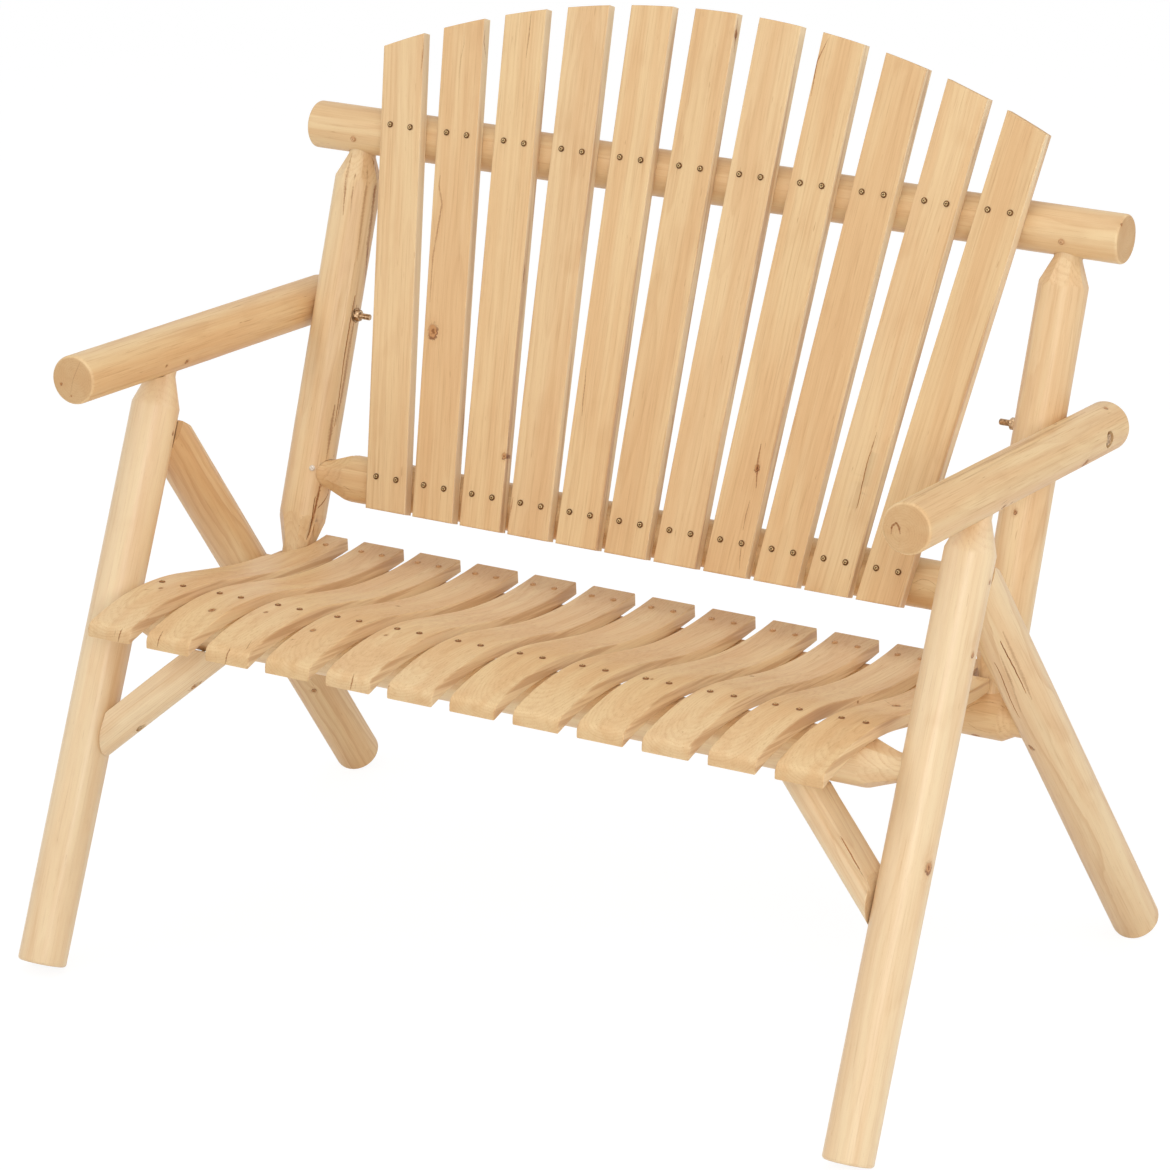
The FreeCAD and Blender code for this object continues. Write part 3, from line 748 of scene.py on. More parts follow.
def whittle(mesh, grain, cone, seed):
    """Cuts a turned taper into the flat facets that a knife leaves, scalloped where they run out."""
    neck, shoulder, small = cone
    low, high = min(neck, shoulder) - SCALLOP, max(neck, shoulder) + SCALLOP
    edges = facet_edges(seed)
    for angle in edges[:-1]:
        near = []
        for face in mesh.faces:
            turn, z = grain.place_of(face.calc_center_median())
            if low < z < high and abs((turn - angle + pi) % (2*pi) - pi) < FACET_NEAR:
                near.append(face)
        cut_some(mesh, near, grain.point, grain.axes @ Vector((-sin(angle), cos(angle), 0)))
    for v in mesh.verts:
        turn, z = grain.place_of(v.co)
        share = (z - neck)/(shoulder - neck)
        if not low < z < high or share < 0:
            continue
        offset = (turn - edges[0]) % (2*pi)
        facet = max(n for n, edge in enumerate(edges[:-1]) if edge - edges[0] <= offset + 1e-6)
        half = (edges[facet + 1] - edges[facet])/2
        apart = offset - (edges[facet] - edges[0]) - half
        fade = min(1, share*abs(shoulder - neck)/FACET_EASE)
        limit = (small + (LOG_R - small)*share)*(1 - (1 - cos(half)/cos(apart))*fade)
        spot = grain.spot(v.co)
        radius = Vector((spot.x, spot.y))
        if radius.length > limit:
            shrunk = radius*(limit/radius.length)
            v.co = grain.place(shrunk.x, shrunk.y, spot.z)


def drawn_flats(low, high, seed):
    """Long shallow flats left by a drawknife, as (angle, depth in mm, start, end)."""
    flats = []
    for n in range(FLAT_COUNT):
        centre = low + (high - low)*(0.5 + 0.42*sin(seed*2.3 + n*1.9))
        reach = (high - low)*(0.18 + 0.10*cos(seed + n*2.7))
        depth = 0.75 + 0.4*sin(seed*3.1 + n*1.3)
        flats.append((seed*1.7 + n*2.4, depth, centre - reach, centre + reach))
    return flats


def seen_flats(node, grain):
    """Flats that the photograph shows on a log."""
    flats = []
    for start, end, depth in FLATS.get(node, ()):
        angle, start_z = grain.place_of(on_photo(node, start)[0])
        end_z = grain.place_of(on_photo(node, end)[0])[1]
        flats.append((angle, depth, min(start_z, end_z), max(start_z, end_z)))
    return flats


def work_over(mesh, grain, knots, flats, seed):
    """Gives a log its hand-worked surface: slow waves, swollen knots and flats."""
    mesh.normal_update()
    for v in mesh.verts:
        spot = grain.spot(v.co)
        where = spot/MM
        worked = noise.noise(Vector((where.x/34, where.y/34, where.z/150 + seed*17.3)))
        worked += 0.35*noise.noise(Vector((where.x/14, where.y/14, where.z/38 + seed*5.1)))
        sink = WOBBLE*(0.55 + 0.55*max(-1, min(1, worked)))
        rise = 0
        for place, _, radius in knots:
            apart = (v.co - place).length/(radius*MM)
            rise += 0.1*radius*MM*exp(-apart*apart/3)
        v.co += v.normal*(min(rise, sink + 0.2*MM) - sink)
        if Vector((spot.x, spot.y)).length < 0.97*LOG_R:
            continue
        for angle, depth, start, end in flats:
            square = spot.x*cos(angle) + spot.y*sin(angle)
            window = min(1, max(0, (spot.z - start)/FLAT_EASE), max(0, (end - spot.z)/FLAT_EASE))
            window = window*window*(3 - 2*window)
            limit = LOG_R - depth*MM*window*(1 + 0.3*noise.noise(Vector((spot.z*14, angle, seed))))
            if square > limit:
                v.co -= grain.axes @ Vector((cos(angle), sin(angle), 0))*(square - limit)*0.9


def place_log(kind, node, point, way, pith, towards, ring):
    """Peeled log: the CAD log cut into rings and trued round, whittled, cracked and worked over."""
    seed = next(seeds)
    knots = knots_at(node)
    material = wood(node + "_grain", point, way, pith, towards, ring, seed, knots=knots,
                    lines=lines_at(node), **LOOKS.get(node, LOOKS[kind]))
    mesh = cad_copy(node)
    grain = RoundGrain(point, way, RIGHT if abs(way.x) < 0.9 else UP)
    places = [(v.co - point).dot(grain.way) for v in mesh.verts]
    low, high = min(places), max(places)
    cones = CONES.get(node, ())
    rings = int((high - low)/RING_STEP)
    levels = [low + (high - low)*n/rings for n in range(1, rings)]
    for neck, shoulder, _ in cones:
        step = NECK_STEP if shoulder > neck else -NECK_STEP
        levels += [shoulder + step*n for n in (-2, -1, 1, 2, 3)]
    slice_up(mesh, mesh.faces[:], point, grain.way, sorted(levels))
    bmesh.ops.remove_doubles(mesh, verts=mesh.verts, dist=RING_WELD)
    bmesh.ops.dissolve_degenerate(mesh, dist=SLIVER, edges=mesh.edges)
    true_rings(mesh, grain)
    for n, cone in enumerate(cones):
        whittle(mesh, grain, cone, seed + 0.37*n)
    open_cracks(mesh, grain, node, CRACKS.get(node, ()))
    work_over(mesh, grain, knots, drawn_flats(low, high, seed) + seen_flats(node, grain), seed)
    finish_wood(mesh, node, material, LOG_SHARP)


def place_slat(node, way, pith, **look):
    """A slat keeps its CAD mesh, or gets a cracked copy."""
    material = wood(node + "_grain", middle(node), way, pith, RIGHT, seed=next(seeds), streaks=0.7,
                    knots=knots_at(node), lines=lines_at(node), **look)
    cracks = CRACKS.get(node, ())
    if not cracks:
        nodes[node].data.materials.clear()
        nodes[node].data.materials.append(material)
        return
    point, front = on_photo(node, cracks[0][0][0])
    mesh = cad_copy(node)
    mesh.normal_update()
    open_cracks(mesh, FlatGrain(point, way, front), node, cracks)
    finish_wood(mesh, node, material, SLAT_SHARP)


# Marks that the photograph shows, by its pixels, and looks of the logs

# Knots: pixel, radius in millimetres
KNOTS = {
    "front_leg_right": [((973, 655), 2.4), ((929, 868), 5.0), ((990, 582), 2.2)],
    "front_leg_left": [((176, 434), 2.0)],
    "arm_right": [
        ((1004, 507), 3.2), ((1012, 503), 1.6), ((1106, 408), 2.4), ((1055, 424), 1.8), ((1086, 463), 4.5),
    ],
    "arm_left": [((187, 362), 2.8), ((167, 366), 1.6), ((61, 384), 1.8), ((71, 396), 1.1)],
    "back_post_right": [((1015, 512), 2.3)],
    "rear_leg_right": [((1031, 748), 3.4)],
    "rear_leg_left": [((314, 691), 3.0)],
    "rear_seat_rail": [((976, 736), 3.6)],
    "top_rail": [((1122, 225), 1.8)],
    "back_slat_02": [((433, 331), 6.5)],
    "back_slat_03": [((504, 456), 3.0)],
    "back_slat_08": [((757, 468), 3.4)],
    "back_slat_06": [((736, 34), 3.6)],
    "seat_slat_01": [((161, 588), 2.2)],
    "seat_slat_02": [((212, 610), 3.6)],
    "seat_slat_03": [((266, 612), 2.2)],
    "seat_slat_04": [((313, 630), 3.0), ((398, 606), 2.4)],
    "seat_slat_05": [((386, 635), 2.0)],
    "seat_slat_09": [((652, 679), 1.6)],
    "seat_slat_10": [((752, 676), 2.2)],
    "seat_slat_11": [((858, 702), 1.6)],
    "seat_slat_12": [((898, 690), 4.6), ((899, 705), 1.4)],
}
# Drying cracks: pixels, width and depth in millimetres
CRACKS = {
    "back_post_left": [
        ([(355, 292), (344, 360), (335, 430)], 1.0, 2.2), ([(321, 484), (316, 510), (311, 536)], 1.2, 2.2),
        ([(314, 496), (308, 540)], 1.0, 2),
    ],
    "rear_leg_right": [
        ([(999, 640), (1014, 668), (1027, 694)], 0.9, 1.8),
        ([(996, 662), (1008, 694), (1018, 718)], 0.9, 1.6),
    ],
    "front_brace_right": [([(846, 830), (856, 850), (866, 868)], 1.0, 2.5)],
    "back_slat_10": [([(870, 450), (862, 485), (857, 512)], 1.2, 3)],
}
# Dark lines, torn grain and painted shade: pixels, half width in millimetres, strength
LINES = {
    "arm_left": [
        ([(91, 349), (80, 362), (73, 379), (69, 402)], 0.8, 0.4), ([(299, 307), (315, 304)], 0.5, 0.5),
        ([(294, 315), (312, 311)], 0.5, 0.5), ([(228, 309), (246, 303)], 0.9, 0.6),
    ],
    "arm_right": [
        ([(891, 534), (892, 526), (896, 523), (899, 527), (900, 534)], 2.0, 1.0),
        ([(1000, 506), (1009, 499)], 1.2, 0.7), ([(1088, 414), (1110, 404)], 0.9, 0.5),
        ([(915, 497), (1000, 455), (1085, 412)], 6.0, 0.35), ([(960, 481), (1040, 440)], 3.0, 0.3),
    ],
    "back_post_left": [
        ([(352, 153), (348, 168), (345, 190), (343, 215)], 2.4, 0.75),
        # Darkens a broad band along the post's right edge.
        ([(377, 160), (375, 190), (372, 215), (368, 245), (363, 300)], 4.0, 0.95),
        ([(368, 162), (366, 190), (361, 230), (357, 262)], 3.0, 0.5),
        ([(361, 155), (356, 170), (352, 196), (350, 215)], 1.6, 0.7),
        ([(356, 152), (351, 164), (348, 180)], 1.2, 0.8), ([(370, 152), (374, 162), (373, 178)], 1.8, 0.8),
        ([(362, 152), (366, 160), (366, 172)], 1.2, 0.7),
        ([(357, 305), (350, 345), (342, 395), (336, 425)], 3.4, 0.7),
        ([(335, 405), (331, 430), (327, 456)], 4.5, 0.75),
        ([(327, 456), (320, 488), (313, 518), (308, 541)], 2.6, 1.0),
        ([(334, 455), (328, 480), (322, 505)], 2.4, 0.7),
    ],
    "rear_leg_right": [
        ([(1003, 632), (1014, 657), (1024, 680), (1032, 700)], 3.0, 0.5),
        ([(1000, 655), (1010, 680), (1021, 712)], 2.6, 0.5),
    ],
    # Painted shade: a dark line along the left brace's lower edge.
    "front_brace_left": [([(188, 691), (195, 686), (202, 681)], 3.2, 1.0)],
    "lower_back_rail": [
        ([(324, 479), (345, 487), (364, 499)], 1.0, 0.5), ([(327, 485), (346, 497), (360, 511)], 0.6, 0.3),
        ([(912, 584), (917, 581), (922, 579), (928, 580), (933, 583), (938, 587)], 0.8, 0.5),
        ([(912, 593), (918, 590), (924, 588), (930, 590), (937, 595)], 0.7, 0.45),
    ],
    "rear_seat_rail": [
        ([(962, 713), (970, 706), (980, 702), (991, 702), (1002, 706), (1011, 712)], 0.9, 0.5),
        ([(966, 722), (976, 729), (988, 733), (1001, 732), (1014, 727)], 0.9, 0.5),
    ],
    "back_slat_01": [([(424, 38), (423, 54), (421, 72)], 1.0, 0.9)],
    "back_slat_02": [
        ([(434, 174), (439, 186), (442, 204), (438, 227), (433, 257), (430, 302)], 1.8, 0.6),
        ([(464, 408), (463, 425), (462, 440)], 1.8, 1.0), ([(485, 30), (484, 42), (486, 58)], 1.6, 0.9),
        ([(464, 32), (464, 44), (461, 58), (459, 78)], 0.7, 0.5),
    ],
    "back_slat_03": [
        ([(531, 14), (529, 35), (526, 58)], 1.2, 0.8), ([(525, 264), (523, 283)], 2.0, 1.0),
        ([(509, 420), (508, 450), (507, 482)], 1.3, 0.8),
    ],
    "back_slat_04": [([(511, 497), (509, 520)], 1.4, 0.8)],
    "back_slat_05": [([(586, 368), (585, 385), (583, 400), (582, 416)], 0.9, 0.9)],
    "back_slat_06": [([(738, 18), (736, 34), (734, 52)], 2.4, 0.9), ([(673, 415), (671, 440)], 1.8, 0.9)],
    "back_slat_08": [
        ([(821, 36), (817, 62), (811, 96)], 1.5, 1.0), ([(761, 444), (758, 460), (756, 488)], 2.4, 0.9),
        ([(750, 500), (746, 515), (743, 530)], 1.5, 0.8), ([(741, 548), (739, 570)], 1.5, 0.7),
    ],
    "back_slat_10": [([(877, 432), (872, 448), (869, 456)], 1.2, 0.9)],
    "seat_slat_01": [
        ([(123, 628), (121, 631), (120, 634), (119, 638), (118, 642)], 1.4, 1.0),
        ([(116, 629), (115, 633), (114, 637)], 0.9, 0.8), ([(144, 590), (149, 589)], 1.2, 0.8),
        ([(158, 590), (163, 590)], 1.0, 0.7),
    ],
    "seat_slat_02": [
        ([(163, 631), (161, 635), (159, 639), (158, 643), (157, 648)], 1.4, 1.0),
        ([(200, 640), (198, 648)], 1.0, 0.8), ([(207, 611), (216, 609)], 1.4, 0.7),
    ],
    "seat_slat_03": [
        ([(231, 647), (229, 651), (227, 655), (226, 660), (225, 664)], 1.4, 1.0),
        ([(252, 640), (247, 648), (244, 656)], 1.0, 0.8), ([(238, 650), (236, 658)], 1.0, 0.8),
    ],
    "seat_slat_04": [
        ([(290, 640), (296, 639)], 1.6, 0.7), ([(333, 655), (330, 664), (329, 673)], 1.1, 0.9),
        ([(362, 625), (372, 622), (382, 618)], 0.7, 0.8),
    ],
    "seat_slat_05": [
        ([(354, 674), (353, 678), (352, 682), (351, 686), (350, 690)], 1.4, 1.0),
        ([(357, 681), (355, 688)], 1.0, 0.8),
    ],
    "seat_slat_06": [([(392, 678), (389, 686), (388, 694)], 1.2, 0.9)],
    "seat_slat_12": [([(884, 700), (893, 692)], 0.9, 0.5)],
}
# Flats: pixels of both ends, depth in millimetres
FLATS = {
    "back_post_left": [((341, 180), (300, 440), 1.8), ((362, 175), (335, 380), 1.3)],
    "arm_right": [((1080, 466), (1094, 459), 1.2)],
}
LOOKS = {
    "front_leg": dict(tone=0.05, milk=0.5, contrast=0.2, streaks=0.4, gloss=0.45),
    "arm": dict(tone=0.06, contrast=0.22, streaks=0.9, gloss=0.08),
    "back_post": dict(milk=0.2, contrast=0.32, streaks=0.6, gloss=0.25),
    "rear_leg_left": dict(tone=0.1, contrast=0.75, streaks=0.6, gloss=0.08),
    "rear_leg": dict(milk=0.3, contrast=0.5, streaks=0.5, gloss=0.1),
    "top_rail": dict(milk=0.1, contrast=0.35, streaks=0.5, gloss=0.1),
    "lower_back_rail": dict(contrast=0.5, streaks=0.7, gloss=0.05),
    "front_seat_rail": dict(milk=0.35, contrast=0.4, streaks=0.5, gloss=0.08),
    "rear_seat_rail": dict(tone=0.15, contrast=0.55, streaks=0.7, gloss=0.05),
    "front_brace": dict(milk=0.6, contrast=0.4, streaks=0.5, gloss=0.12),
}
# Whittled ends: neck, shoulder, radius at the neck
POST_CONES = ((36*MM, 74*MM, 19*MM), (540.5*MM, 511*MM, 17.5*MM))
CONES = {
    "back_post_left": POST_CONES, "back_post_right": POST_CONES,
    "lower_back_rail": ((453.2*MM, 420.2*MM, 18*MM), (-453.2*MM, -420.2*MM, 18*MM)),
    "front_seat_rail": ((513.5*MM, 478*MM, 17*MM), (-513.5*MM, -478*MM, 17*MM)),
}
PITH_SHARES = {
    "front_leg": (0.22, -0.10), "arm": (-0.20, 0.15), "back_post": (0.12, 0.25),
    "rear_leg": (-0.28, -0.12),
}


def knots_at(node):
    """Places, normals and radii of a node's knots."""
    return [(*on_photo(node, pixel), radius) for pixel, radius in KNOTS.get(node, ())]


def lines_at(node):
    """Places, half widths and strengths of a node's dark lines: torn grain, and painted shade on one
    brace.
    """
    return [([on_photo(node, pixel)[0] for pixel in pixels], width, strength)
            for pixels, width, strength in LINES.get(node, ())]


# Frame logs

front_rail = middle("front_seat_rail")
rear_rail = middle("rear_seat_rail")
arm_joint = front_rail + FRONT_UP*((ARM_HEIGHT - front_rail.z)/FRONT_UP.z)
gap = rear_rail - front_rail
meeting = front_rail + FRONT_UP*((gap.y*REAR_DOWN.z - gap.z*REAR_DOWN.y)
                                 / (FRONT_UP.y*REAR_DOWN.z - FRONT_UP.z*REAR_DOWN.y))

LOGS = {
    "front_leg": (front_rail, LEG_X, FRONT_UP),
    "arm": (arm_joint, LEG_X, ARM_WAY),
    "back_post": (rear_rail, POST_X, BACK_UP),
    "rear_leg": (meeting, REAR_LEG_TOP_X, REAR_DOWN),
}

seeds = count(1)
for kind, (point, across, way) in LOGS.items():
    for side, label in ((-1, "left"), (1, "right")):
        base = Vector((side*across, point.y, point.z))
        mirror = Vector((side*way.x, way.y, way.z))
        pith = [share*side*LOG_R/MM for share in PITH_SHARES[kind]]
        place_log(kind, f"{kind}_{label}", base, mirror, pith, towards=RIGHT, ring=3.1)
for node in ("top_rail", "lower_back_rail", "front_seat_rail", "rear_seat_rail"):
    place_log(node, node, middle(node), RIGHT, pith=(5, -4), towards=UP, ring=2.9)
for node in ("front_brace_left", "front_brace_right"):
    _, way = long_axis(np.array([v.co for v in nodes[node].data.vertices]))
    place_log("front_brace", node, middle(node), way, pith=(4, 3), towards=RIGHT, ring=2.6)


# Slats, each with its own place in the tree and its own tone

SEAT_SLATS = 12
SEAT_WAY = Vector((0, 1, -0.09))
SEAT_HALF = 30
BACK_SLATS = 11
BACK_MIDDLE = 5
BACK_FAN = 12.6
BACK_HALF = 28.5

for n in range(SEAT_SLATS):
    place_slat(f"seat_slat_{n + 1:02d}", SEAT_WAY, (24*sin(n*2.4), -34 - 9*cos(n*1.7)), ring=3.4,
               contrast=0.38, tone=0.04 + 0.06*sin(n*3.1), milk=max(0, 0.15*sin(n*1.3 + 2)),
               gloss=0.03, sawn_share=0.2, slat_half=SEAT_HALF, pale_sides=0.2)

upwards = middle("top_rail") - middle("lower_back_rail")
for n in range(BACK_SLATS):
    way = upwards + RIGHT*((n - BACK_MIDDLE)*BACK_FAN*MM)
    place_slat(f"back_slat_{n + 1:02d}", way, (30*sin(n*1.9 + 0.6), -46 - 12*cos(n*2.3)), ring=3.6,
               contrast=0.36, tone=0.12 + 0.07*sin(n*2.7), milk=max(0, 0.1*sin(n*2.1 + 1)),
               gloss=0.05, sawn_share=0.4, slat_half=BACK_HALF, pale_sides=0.6)


# Screws and bolts

SCREW_R = 2.0*MM
HEAD_R = 3.8*MM
HEAD_H = 2.2*MM
HEAD_LIP = 0.7*MM
HEAD_AIR = 0.1*MM
HEAD_BEVEL = 0.25*MM
CROWN_STEPS = (0.3, 0.7, 1.1, 1.5, 1.9, 2.2, 2.5, 2.9, 3.3, 3.6, 3.8)
HIGHLIGHT_R = 2.35*MM
RECESS_R = 2.0*MM
RECESS_DEPTH = 0.8*MM
RECESS_HALF = 0.52
RECESS_TAPER = 0.1
RECESS_SLOPE = 0.18
POINT_R = 0.3*MM
TIP = 5*MM
SCREW_TURN = 2.4
BOLT_R = 4.0*MM
BOLT_TIP_R = 3.1*MM
THREAD_DEPTH = 0.55*MM
THREAD_PITCH = 1.25*MM
THREAD_STEPS = 5
THREAD_LEN = 28*MM
HEX_R = 6.5*MM
HEX_FACE = 0.94*HEX_R
BOLT_HEAD = 5.3*MM
HOLE_R = 4.15*MM
HOLE_BEVEL = 0.5*MM
WASHER_R = 8.4*MM
WASHER_ROUND = 0.35*MM


def bodies_of(node):
    """Corner points of each separate body in a node."""
    mesh = cad_copy(node)
    found = set()
    bodies = []
    for first in mesh.verts:
        if first in found:
            continue
        found.add(first)
        body = [first]
        for v in body:
            for edge in v.link_edges:
                other = edge.other_vert(v)
                if other not in found:
                    found.add(other)
                    body.append(other)
        bodies.append(np.array([v.co for v in body]))
    mesh.free()
    return bodies


def circle(radius, z, corners=36):
    """Ring of points; radius and z are numbers or functions of the angle."""
    ring = []
    for n in range(corners):
        angle = 2*pi*n/corners
        r = radius(angle) if callable(radius) else radius
        height = z(angle) if callable(z) else z
        ring.append(Vector((r*cos(angle), r*sin(angle), height)))
    return ring


def skin(rings, loop=False):
    """Points and faces over rings that follow each other upwards, capped or joined into a loop."""
    around = len(rings[0])
    faces = []
    for k in range(len(rings) if loop else len(rings) - 1):
        a, b = k*around, (k + 1) % len(rings)*around
        for n in range(around):
            m = (n + 1) % around
            faces.append((a + n, a + m, b + m, b + n))
    if not loop:
        last = (len(rings) - 1)*around
        faces.append(tuple(reversed(range(around))))
        faces.append(tuple(range(last, last + around)))
    return [p for ring in rings for p in ring], faces


def cross(x, y):
    """How deep a cross recess is at a place on a head, from 0 to 1."""
    x, y = abs(x)/MM, abs(y)/MM
    depth = 0
    for a, b in ((x, y), (y, x)):
        if b < RECESS_R/MM:
            depth = max(depth, min(1, max(0, (RECESS_HALF - RECESS_TAPER*b - a)/RECESS_SLOPE)))
    return depth


def screw_mesh(length):
    """Pan-headed wood screw: crown towards -Z, tip towards +Z, origin on the wood."""
    rise = HEAD_H - HEAD_LIP
    dome_r = (HEAD_R**2 + rise**2)/(2*rise)
    rings = []
    depths = []
    for r in CROWN_STEPS:
        ring = circle(r*MM, dome_r - HEAD_AIR - HEAD_H - sqrt(dome_r**2 - (r*MM)**2), 32)
        for p in ring:
            depths.append(cross(p.x, p.y) if r*MM < RECESS_R else 0)
            p.z += RECESS_DEPTH*depths[-1]
        rings.append(ring)
    for r, z in ((HEAD_R, -HEAD_AIR - HEAD_BEVEL), (HEAD_R - HEAD_BEVEL, -HEAD_AIR),
                 (SCREW_R, -HEAD_AIR), (SCREW_R, length - TIP), (POINT_R, length)):
        rings.append(circle(r, z, 32))
    points, faces = skin(rings)
    depths += [0]*(len(points) - len(depths))
    # Crown faces near the middle, outside the recess, take the second finish: a painted highlight.
    highlighted = []
    for face in faces:
        sunk = sum(depths[i] for i in face)/len(face) > 0.3
        rim = max(points[i].xy.length for i in face) > HIGHLIGHT_R
        highlighted.append(0 if sunk or rim else 1)
    return points, faces, highlighted


def hexagon(angle):
    """Distance from the middle of a hexagon to its side, corners at 0, 60 ... degrees."""
    return HEX_R/cos(angle % (pi/3) - pi/6)


def ease(angle):
    """Height lost to the turned chamfer of a hexagon at an angle."""
    return (hexagon(angle) - HEX_FACE)*tan(pi/6)


def plain(rings, loop=False):
    """Skin of one finish."""
    points, faces = skin(rings, loop)
    return points, faces, [0]*len(faces)


def bolt_mesh(length):
    """Hexagon bolt from the tip of its threaded end upwards to its head."""
    seat = length - BOLT_HEAD
    rings = [circle(BOLT_TIP_R, 0)]
    step = THREAD_PITCH/THREAD_STEPS
    for n in range(1, int(THREAD_LEN/step)):
        z = n*step

        def thread(angle):
            turn = (z/THREAD_PITCH - angle/(2*pi)) % 1
            crest = BOLT_R - THREAD_DEPTH*min(1, 2.4*abs(turn - 0.5))
            return min(crest, BOLT_TIP_R + z)
        rings.append(circle(thread, z))
    for radius, z in ((BOLT_R, THREAD_LEN), (BOLT_R, seat), (HEX_FACE, seat),
                      (hexagon, lambda a: seat + ease(a)), (hexagon, lambda a: length - ease(a)),
                      (HEX_FACE, length), (0.66*HEX_R, length), (0.58*HEX_R, length - 0.5*MM)):
        rings.append(circle(radius, z))
    return plain(rings)


def nut_mesh(height):
    """Hexagon nut with chamfered corners and a countersunk hole, centred on its middle."""
    half = height/2
    return plain([circle(radius, z) for radius, z in (
        (HOLE_R, HOLE_BEVEL - half), (HOLE_R + HOLE_BEVEL, -half), (HEX_FACE, -half),
        (hexagon, lambda a: ease(a) - half), (hexagon, lambda a: half - ease(a)),
        (HEX_FACE, half), (HOLE_R + HOLE_BEVEL, half), (HOLE_R, half - HOLE_BEVEL),
    )], loop=True)


def washer_mesh(height):
    """Stamped washer with rounded rims."""
    half = height/2
    flat = WASHER_R - WASHER_ROUND
    return plain([circle(radius, z, 48) for radius, z in (
        (HOLE_R, -half), (flat, -half), (WASHER_R, WASHER_ROUND - half),
        (WASHER_R, half - WASHER_ROUND), (flat, half), (HOLE_R, half),
    )], loop=True)


def assemble(node, parts, materials):
    """One piece made of several (matrix, points, faces, finishes), in place of a node."""
    points = []
    faces = []
    finish = []
    for matrix, part_points, part_faces, part_finish in parts:
        start = len(points)
        points += [matrix @ p for p in part_points]
        faces += [tuple(start + i for i in face) for face in part_faces]
        finish += part_finish
    data = bpy.data.meshes.new(node + "_metal")
    data.from_pydata(points, [], faces)
    for material in materials:
        data.materials.append(material)
    data.polygons.foreach_set("material_index", finish)
    data.shade_smooth()
    data.set_sharp_from_angle(angle=radians(METAL_SHARP))
    stand_in(node, "_metal", data)


def place_screws(node, rim, face):
    """Screws with a cross recess, one for each body of a node, each turned its own way: rim finishes the
    head, face paints a highlight on its crown.
    """
    parts = []
    for n, points in enumerate(bodies_of(node)):
        centre, way = long_axis(points)
        apart = points - centre
        along = apart @ np.array(way)
        beside = np.linalg.norm(apart - np.outer(along, np.array(way)), axis=1)
        if along[beside > 1.5*SCREW_R].mean() > 0:
            way, along = -way, -along
        origin = Vector(centre) + way*(along.min() + HEAD_H + HEAD_AIR)
        turned = local_axes(way, UP if abs(way.z) < 0.9 else RIGHT)
        turned = turned @ Matrix.Rotation(n*SCREW_TURN, 3, "Z")
        mesh = screw_mesh(along.max() - along.min() - HEAD_H - HEAD_AIR)
        parts.append((Matrix.Translation(origin) @ turned.to_4x4(), *mesh))
    assemble(node, parts, (rim, face))


def place_along_x(node, make, from_low=False):
    """Bolts, nuts or washers, whose bodies lie along X."""
    parts = []
    for points in bodies_of(node):
        low, high = Vector(points.min(0)), Vector(points.max(0))
        centre = (low + high)/2
        side = 1 if centre.x > 0 else -1
        if from_low:
            centre.x = low.x if side > 0 else high.x
        matrix = Matrix(((0, 0, side), (side, 0, 0), (0, 1, 0))).to_4x4()
        parts.append((Matrix.Translation(centre) @ matrix, *make(high.x - low.x)))
    assemble(node, parts, (BRASSY,))


# The second finish of each screw is the painted highlight on its crown.
for node in ("back_low_screws", "back_top_screws", "brace_screws"):
    place_screws(node, BRONZE, BRONZE_CROWN_HIGHLIGHT)
place_screws("seat_front_screws", BROWN_RIM, BRONZE_CROWN_HIGHLIGHT)
place_screws("seat_rear_screws", TAN_RIM, TAN_COAT_HIGHLIGHT)
place_screws("top_rail_lock_screws", TAN_RIM, TAN_COAT_HIGHLIGHT)
# Painted glint: the low rail lock screws have a near-white crown.
place_screws("low_rail_lock_screws", GREY_RIM, ZINC_GLINT)
place_along_x("arm_bolts", bolt_mesh, from_low=True)
place_along_x("arm_bolt_nuts", nut_mesh)
place_along_x("arm_bolt_washers", washer_mesh)


# Light, floor and backdrop

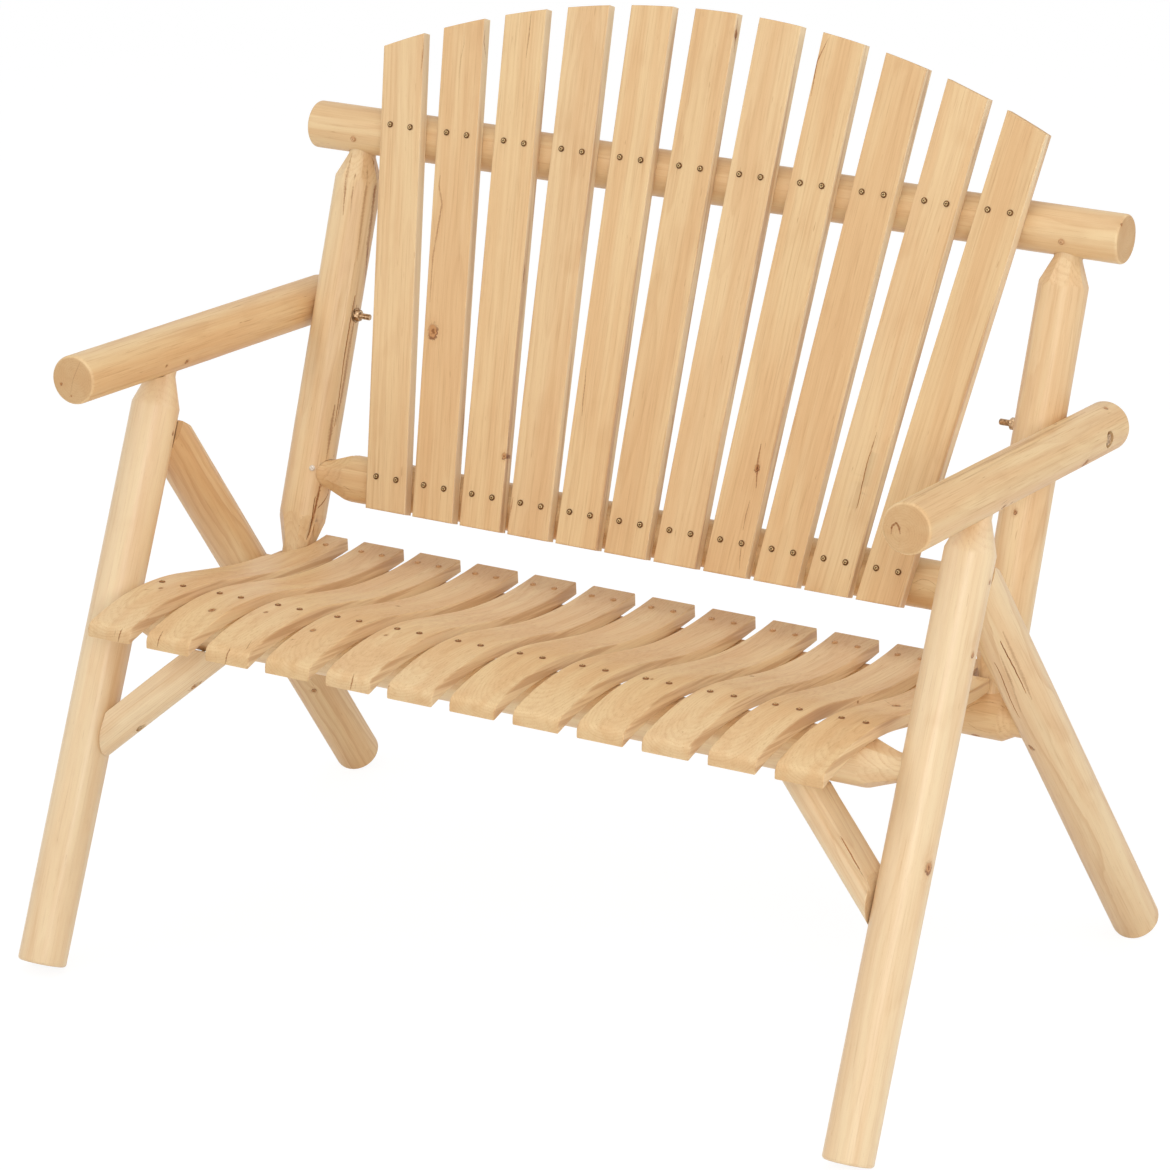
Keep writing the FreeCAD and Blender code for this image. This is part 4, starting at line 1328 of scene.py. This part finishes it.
AMBIENT = 0.54
FLOOR_SIDE = 30.0
FLOOR_SHARE = 0.82
FLOOR_GLOW = 1.1
FLOOR_SHADE = (0.9, 0.9, 0.9, 1)
WHITE = (1, 1, 1, 1)


def backdrop_strength(g):
    """1 where the camera, a reflection or glass looks, else 0."""
    path = g.node("LightPath").outputs
    seen = g.math("MAXIMUM", path["Is Camera Ray"], path["Is Glossy Ray"])
    return g.math("MAXIMUM", seen, path["Is Transmission Ray"])


scene.world = bpy.data.worlds.new("studio")
g = blank(scene.world)
background = g.node("Background", {
    "Color": WHITE,
    "Strength": g.span(backdrop_strength(g), 0.0, 1.0, AMBIENT, 1.0, smooth=False),
})
g.node("OutputWorld", {"Surface": background.outputs[0]})

paper = bpy.data.materials.new("paper")
g = blank(paper)
glow = g.node("Emission", {"Strength": FLOOR_GLOW})
shade = g.node("BsdfDiffuse", {"Color": FLOOR_SHADE})
share = g.times(backdrop_strength(g), FLOOR_SHARE)
blend = g.fill(g.node("MixShader"), (share, shade.outputs[0], glow.outputs[0]))
g.node("OutputMaterial", {"Surface": blend.outputs[0]})

floor_mesh = bmesh.new()
bmesh.ops.create_grid(floor_mesh, x_segments=8, y_segments=8, size=FLOOR_SIDE/2)
floor_data = bpy.data.meshes.new("floor")
floor_mesh.to_mesh(floor_data)
floor_mesh.free()
floor_data.materials.append(paper)
new_object("floor", floor_data)

# Lamps: name, azimuth, elevation, distance, size, power
TARGET = Vector((0, 0, 0.5))
LAMPS = (
    ("key", 34, 20, 5.0, 1.5, 62),
    ("side", -42, 30, 5.0, 2.4, 34),
    ("right", 92, 25, 5.0, 2.4, 40),
    ("top", 0, 80, 4.0, 2.6, 30),
)
for name, azimuth, elevation, distance, size, power in LAMPS:
    lamp = bpy.data.lights.new(name, "AREA")
    lamp.shape = "SQUARE"
    lamp.size = size
    lamp.energy = power
    way = heading(radians(azimuth), radians(elevation))
    place = Matrix.LocRotScale(TARGET + way*distance, way.to_track_quat("Z", "Y"), None)
    new_object(name, lamp).matrix_world = place

scene.view_settings.view_transform = "Standard"

bpy.context.view_layer.update()
